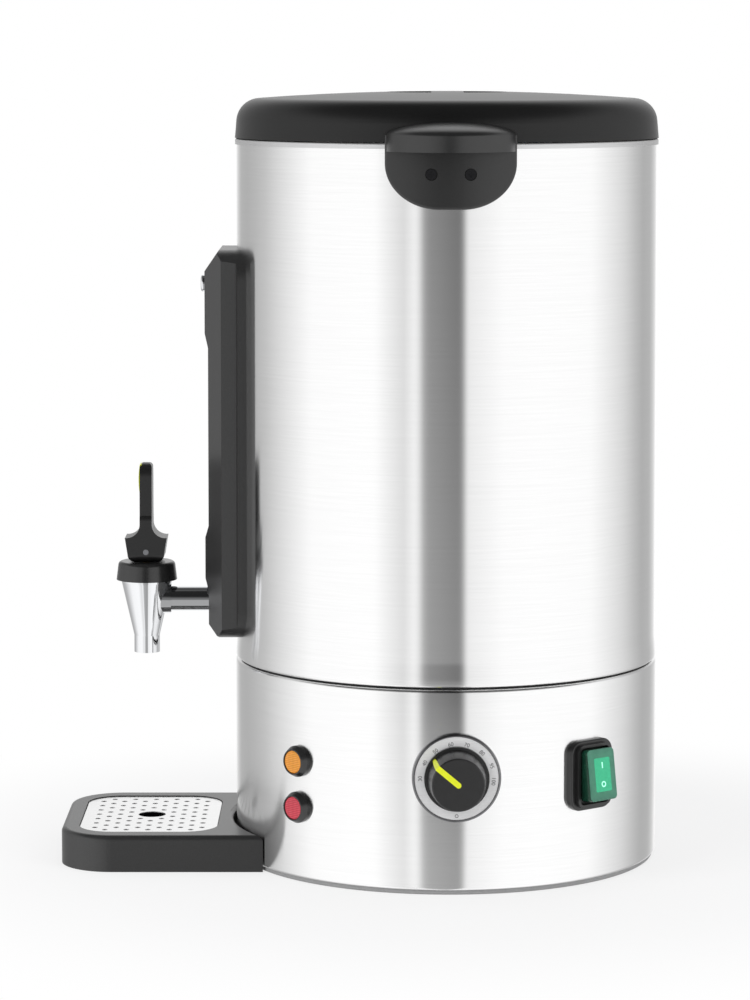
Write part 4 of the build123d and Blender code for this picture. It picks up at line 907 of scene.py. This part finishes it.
# On the dial's front x runs to the right, y up and z outward.
dial_place = (
    Matrix.Rotation(math.radians(DIAL_ANGLE), 4, "Z")
    @ Matrix.Translation((0, -DIAL_FRONT * MM, DIAL_HEIGHT * MM))
    @ Matrix.Rotation(math.pi / 2, 4, "X")
)
dial_ink = bmesh.new()
for figure, turn, radius in NUMBERS:
    words = bpy.data.curves.new("figure", "FONT")
    words.body = figure
    words.align_x, words.align_y = "CENTER", "CENTER"
    words.size = FIGURE_HEIGHT * MM
    words.extrude = INK / 2 * MM
    mesh = curve_mesh(words)
    outward = math.radians(-turn)
    spot = Matrix.Rotation(outward, 4, "Z") @ Matrix.Translation((0, radius * MM, INK / 2 * MM))
    mesh.transform(dial_place @ spot)
    dial_ink.from_mesh(mesh)
    bpy.data.meshes.remove(mesh)
dial_numbers = show("dial_numbers", drawn_mesh("dial_numbers", dial_ink), grey_ink)
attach(dial_numbers, "boiler")
off_spot = dial_place @ Matrix.Translation((0, -OFF_MARK_R * MM, INK / 2 * MM))
off_rings = [ring_points(0, 0, radius * MM, OFF_POINTS) for radius in (OFF_OUTER_R, OFF_INNER_R)]
off_mark = filled_outline("dial_off_mark", off_rings, INK * MM, OFF_EDGE * MM, off_spot, grey_ink)
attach(off_mark, "boiler")
print("figures on the dial:", len(NUMBERS))

# %% [markdown]
# ## The switch's boot
# The rocker sits under a milky boot whose front edge is round and whose thick sides are painted deep green as
# painted shade. The rocker's window is lit from behind. It shows through the boot as a paler mint field with a
# bar at the top for on and a ring at the bottom for off. They are thin inlays in the boot's face, and tip with
# the rocker.

# %% Mould the boot and inlay its marks
# Distances outward from the drum's axis, and the boot's own sizes, in mm.
BOOT_FRONT, BOOT_FOOT, ROCKER_AXIS = 167.5, 156.8, 154.5
BOOT_WIDE, BOOT_TALL, BOOT_CORNER, BOOT_WALL, BOOT_EDGE = 25, 36, 3.0, 1.4, 1.2
BOOT_INNER_CORNER, EDGE_STEPS = 1.6, 5
# The boot's bands run from its inner face to its front. The first four are painted deep green as painted shade
# on the thick sides, and all but the first two are smooth.
SHADED_BANDS, SHARP_BANDS = 4, 2
ROCKER_TILT = math.radians(7.5)
# How far the marks are from the rocker's middle, and how far the inlays stand out.
MARK_UP, INLAY_EDGE, WINDOW_PROUD, MARK_PROUD = 6.6, 0.02, 0.08, 0.16
# Width, height and corner of the window and of the bar, and the ring's two radii.
WINDOW_FIELD, BAR_FIELD = (14.6, 23.5, 1.2), (1.0, 4.2, 0.3)
RING_OUTER_R, RING_INNER_R, RING_POINTS = 2.1, 1.25, 36
upright = Matrix.Rotation(math.pi / 2, 4, "X")
tip = (
    Matrix.Translation((0, -ROCKER_AXIS * MM, 0))
    @ Matrix.Rotation(-ROCKER_TILT, 4, "X")
    @ Matrix.Translation((0, ROCKER_AXIS * MM, 0))
)
switch_turn = (
    Matrix.Rotation(math.radians(SWITCH_ANGLE), 4, "Z") @ Matrix.Translation((0, 0, SWITCH_HEIGHT * MM)) @ tip
)


def switch_inlay(name, loops, up, proud, material):
    """A thin flat inlay in the boot's face, up in mm above the rocker's middle."""
    lies = Matrix.Translation((0, -(BOOT_FRONT + proud / 2) * MM, up * MM)) @ upright
    piece = filled_outline(name, loops, proud * MM, INLAY_EDGE * MM, switch_turn @ lies, material)
    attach(piece, "rocker")
    return piece


# The boot's wall from its inner face, round its foot and up its outside to the front: width, height, corner
# and distance outward. The last rings follow the round front edge.
inner_wide, inner_tall = BOOT_WIDE - 2 * BOOT_WALL, BOOT_TALL - 2 * BOOT_WALL
wall = [
    (inner_wide, inner_tall, BOOT_INNER_CORNER, BOOT_FRONT - BOOT_WALL),
    (inner_wide, inner_tall, BOOT_INNER_CORNER, BOOT_FOOT),
    (BOOT_WIDE, BOOT_TALL, BOOT_CORNER, BOOT_FOOT),
]
for k in range(EDGE_STEPS):
    lean = k / (EDGE_STEPS - 1) * math.pi / 2
    inset = BOOT_EDGE * (1 - math.cos(lean))
    out = BOOT_FRONT - BOOT_EDGE * (1 - math.sin(lean))
    wall.append((BOOT_WIDE - 2 * inset, BOOT_TALL - 2 * inset, BOOT_CORNER - inset / 2, out))
boot_form = bmesh.new()
rings = []
for wide, tall, corner, out in wall:
    rings.append([boot_form.verts.new((x, y, out * MM)) for x, y in rounded_field(wide, tall, corner)])
# The boot's two materials: the clear silicone, and its darker green copy painted on the sides as shade.
CLEAR, SHADED_SIDE = 0, 1
boot_form.faces.new(list(reversed(rings[0]))).material_index = SHADED_SIDE
for band, (low, high) in enumerate(zip(rings, rings[1:])):
    for k in range(len(low)):
        face = boot_form.faces.new((low[k], low[(k + 1) % len(low)], high[(k + 1) % len(low)], high[k]))
        face.material_index = SHADED_SIDE if band < SHADED_BANDS else CLEAR
        face.smooth = band >= SHARP_BANDS
boot_form.faces.new(rings[-1]).material_index = CLEAR
bmesh.ops.recalc_face_normals(boot_form, faces=boot_form.faces)
boot_mesh = drawn_mesh("switch_boot_skin", boot_form)
boot_mesh.transform(switch_turn @ upright)
boot_skin = show("switch_boot_skin", boot_mesh, green_boot, deep_green_shaded)
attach(boot_skin, "rocker")
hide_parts("switch_boot")

window = switch_inlay("switch_window", [rounded_field(*WINDOW_FIELD)], 0.0, WINDOW_PROUD, green_rocker)
on_mark = switch_inlay("switch_mark_on", [rounded_field(*BAR_FIELD)], MARK_UP, MARK_PROUD, mint_mark)
off_loops = [ring_points(0, 0, radius * MM, RING_POINTS) for radius in (RING_OUTER_R, RING_INNER_R)]
off_ring = switch_inlay("switch_mark_off", off_loops, -MARK_UP, MARK_PROUD, mint_mark)
print("switch marks:", on_mark.name, off_ring.name)

# %% [markdown]
# ## Lines on the gauge's scale
# Behind the sight tube is a white strip. Short dark lines on both sides of the tube let the level be read. They
# carry no words.

# %% Rule the scale
STRIP_FRONT, LINE_INK, LINE_THICK = -158.65, 0.05, 0.5
LOWEST_LINE, LINE_GAP, LINES, LONG_EVERY = 246.0, 12.0, 11, 5
LONG_INNER, SHORT_INNER, LINE_OUTER = 3.2, 4.8, 8.2
ruled = bmesh.new()
for k in range(LINES):
    height = LOWEST_LINE + k * LINE_GAP
    inner = SHORT_INNER if k % LONG_EVERY else LONG_INNER
    for side in (-1, 1):
        block = bmesh.ops.create_cube(ruled, size=1.0)["verts"]
        bmesh.ops.scale(ruled, verts=block, vec=(LINE_INK * MM, (LINE_OUTER - inner) * MM, LINE_THICK * MM))
        spot = ((STRIP_FRONT - LINE_INK / 2) * MM, side * (inner + LINE_OUTER) / 2 * MM, height * MM)
        bmesh.ops.translate(ruled, verts=block, vec=spot)
scale_lines = show("gauge_scale_lines", drawn_mesh("gauge_scale_lines", ruled), grey_ink)
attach(scale_lines, "boiler")
print("scale ruled every", LINE_GAP, "mm")

# %% [markdown]
# ## The tap's spring
# The CAD solid is a plain sleeve of the return spring's size. The real piece is a coil of plated wire with
# closed ends, so it is wound here.

# %% Wind the spring
WIRE, COIL_TURNS, TURN_STEPS, WIRE_SIDES, END_GAP = 1.1, 8, 30, 8, 0.05
sleeve_low, sleeve_high = (Vector(corner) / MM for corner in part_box("tap_spring"))
coil_middle = (sleeve_low + sleeve_high) / 2
coil_radius = (sleeve_high.x - sleeve_low.x - WIRE) / 2
coil_low, coil_high = sleeve_low.z + END_GAP + WIRE / 2, sleeve_high.z - END_GAP - WIRE / 2
# The first and the last turn lie wire on wire. The turns between them share the rest of the height.
open_pitch = (coil_high - coil_low - 2 * WIRE) / (COIL_TURNS - 2)
wound = bmesh.new()
rounds = []
for step in range(COIL_TURNS * TURN_STEPS + 1):
    turns = step / TURN_STEPS
    closed = min(turns, 1) + max(turns - (COIL_TURNS - 1), 0)
    height = coil_low + closed * WIRE + (turns - closed) * open_pitch
    around = 2 * math.pi * turns
    ring = []
    for side in range(WIRE_SIDES):
        lean = 2 * math.pi * side / WIRE_SIDES
        out = coil_radius + WIRE / 2 * math.cos(lean)
        spot = (coil_middle.x + out * math.cos(around), coil_middle.y + out * math.sin(around))
        ring.append(wound.verts.new((spot[0] * MM, spot[1] * MM, (height + WIRE / 2 * math.sin(lean)) * MM)))
    rounds.append(ring)
for first, second in zip(rounds, rounds[1:]):
    for side in range(WIRE_SIDES):
        after = (side + 1) % WIRE_SIDES
        wound.faces.new((first[side], first[after], second[after], second[side])).smooth = True
wound.faces.new(rounds[0])
wound.faces.new(rounds[-1])
bmesh.ops.recalc_face_normals(wound, faces=wound.faces)
return_spring = show("return_spring", drawn_mesh("return_spring", wound), zinc)
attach(return_spring, "boiler")
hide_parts("tap_spring")
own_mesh(return_spring)
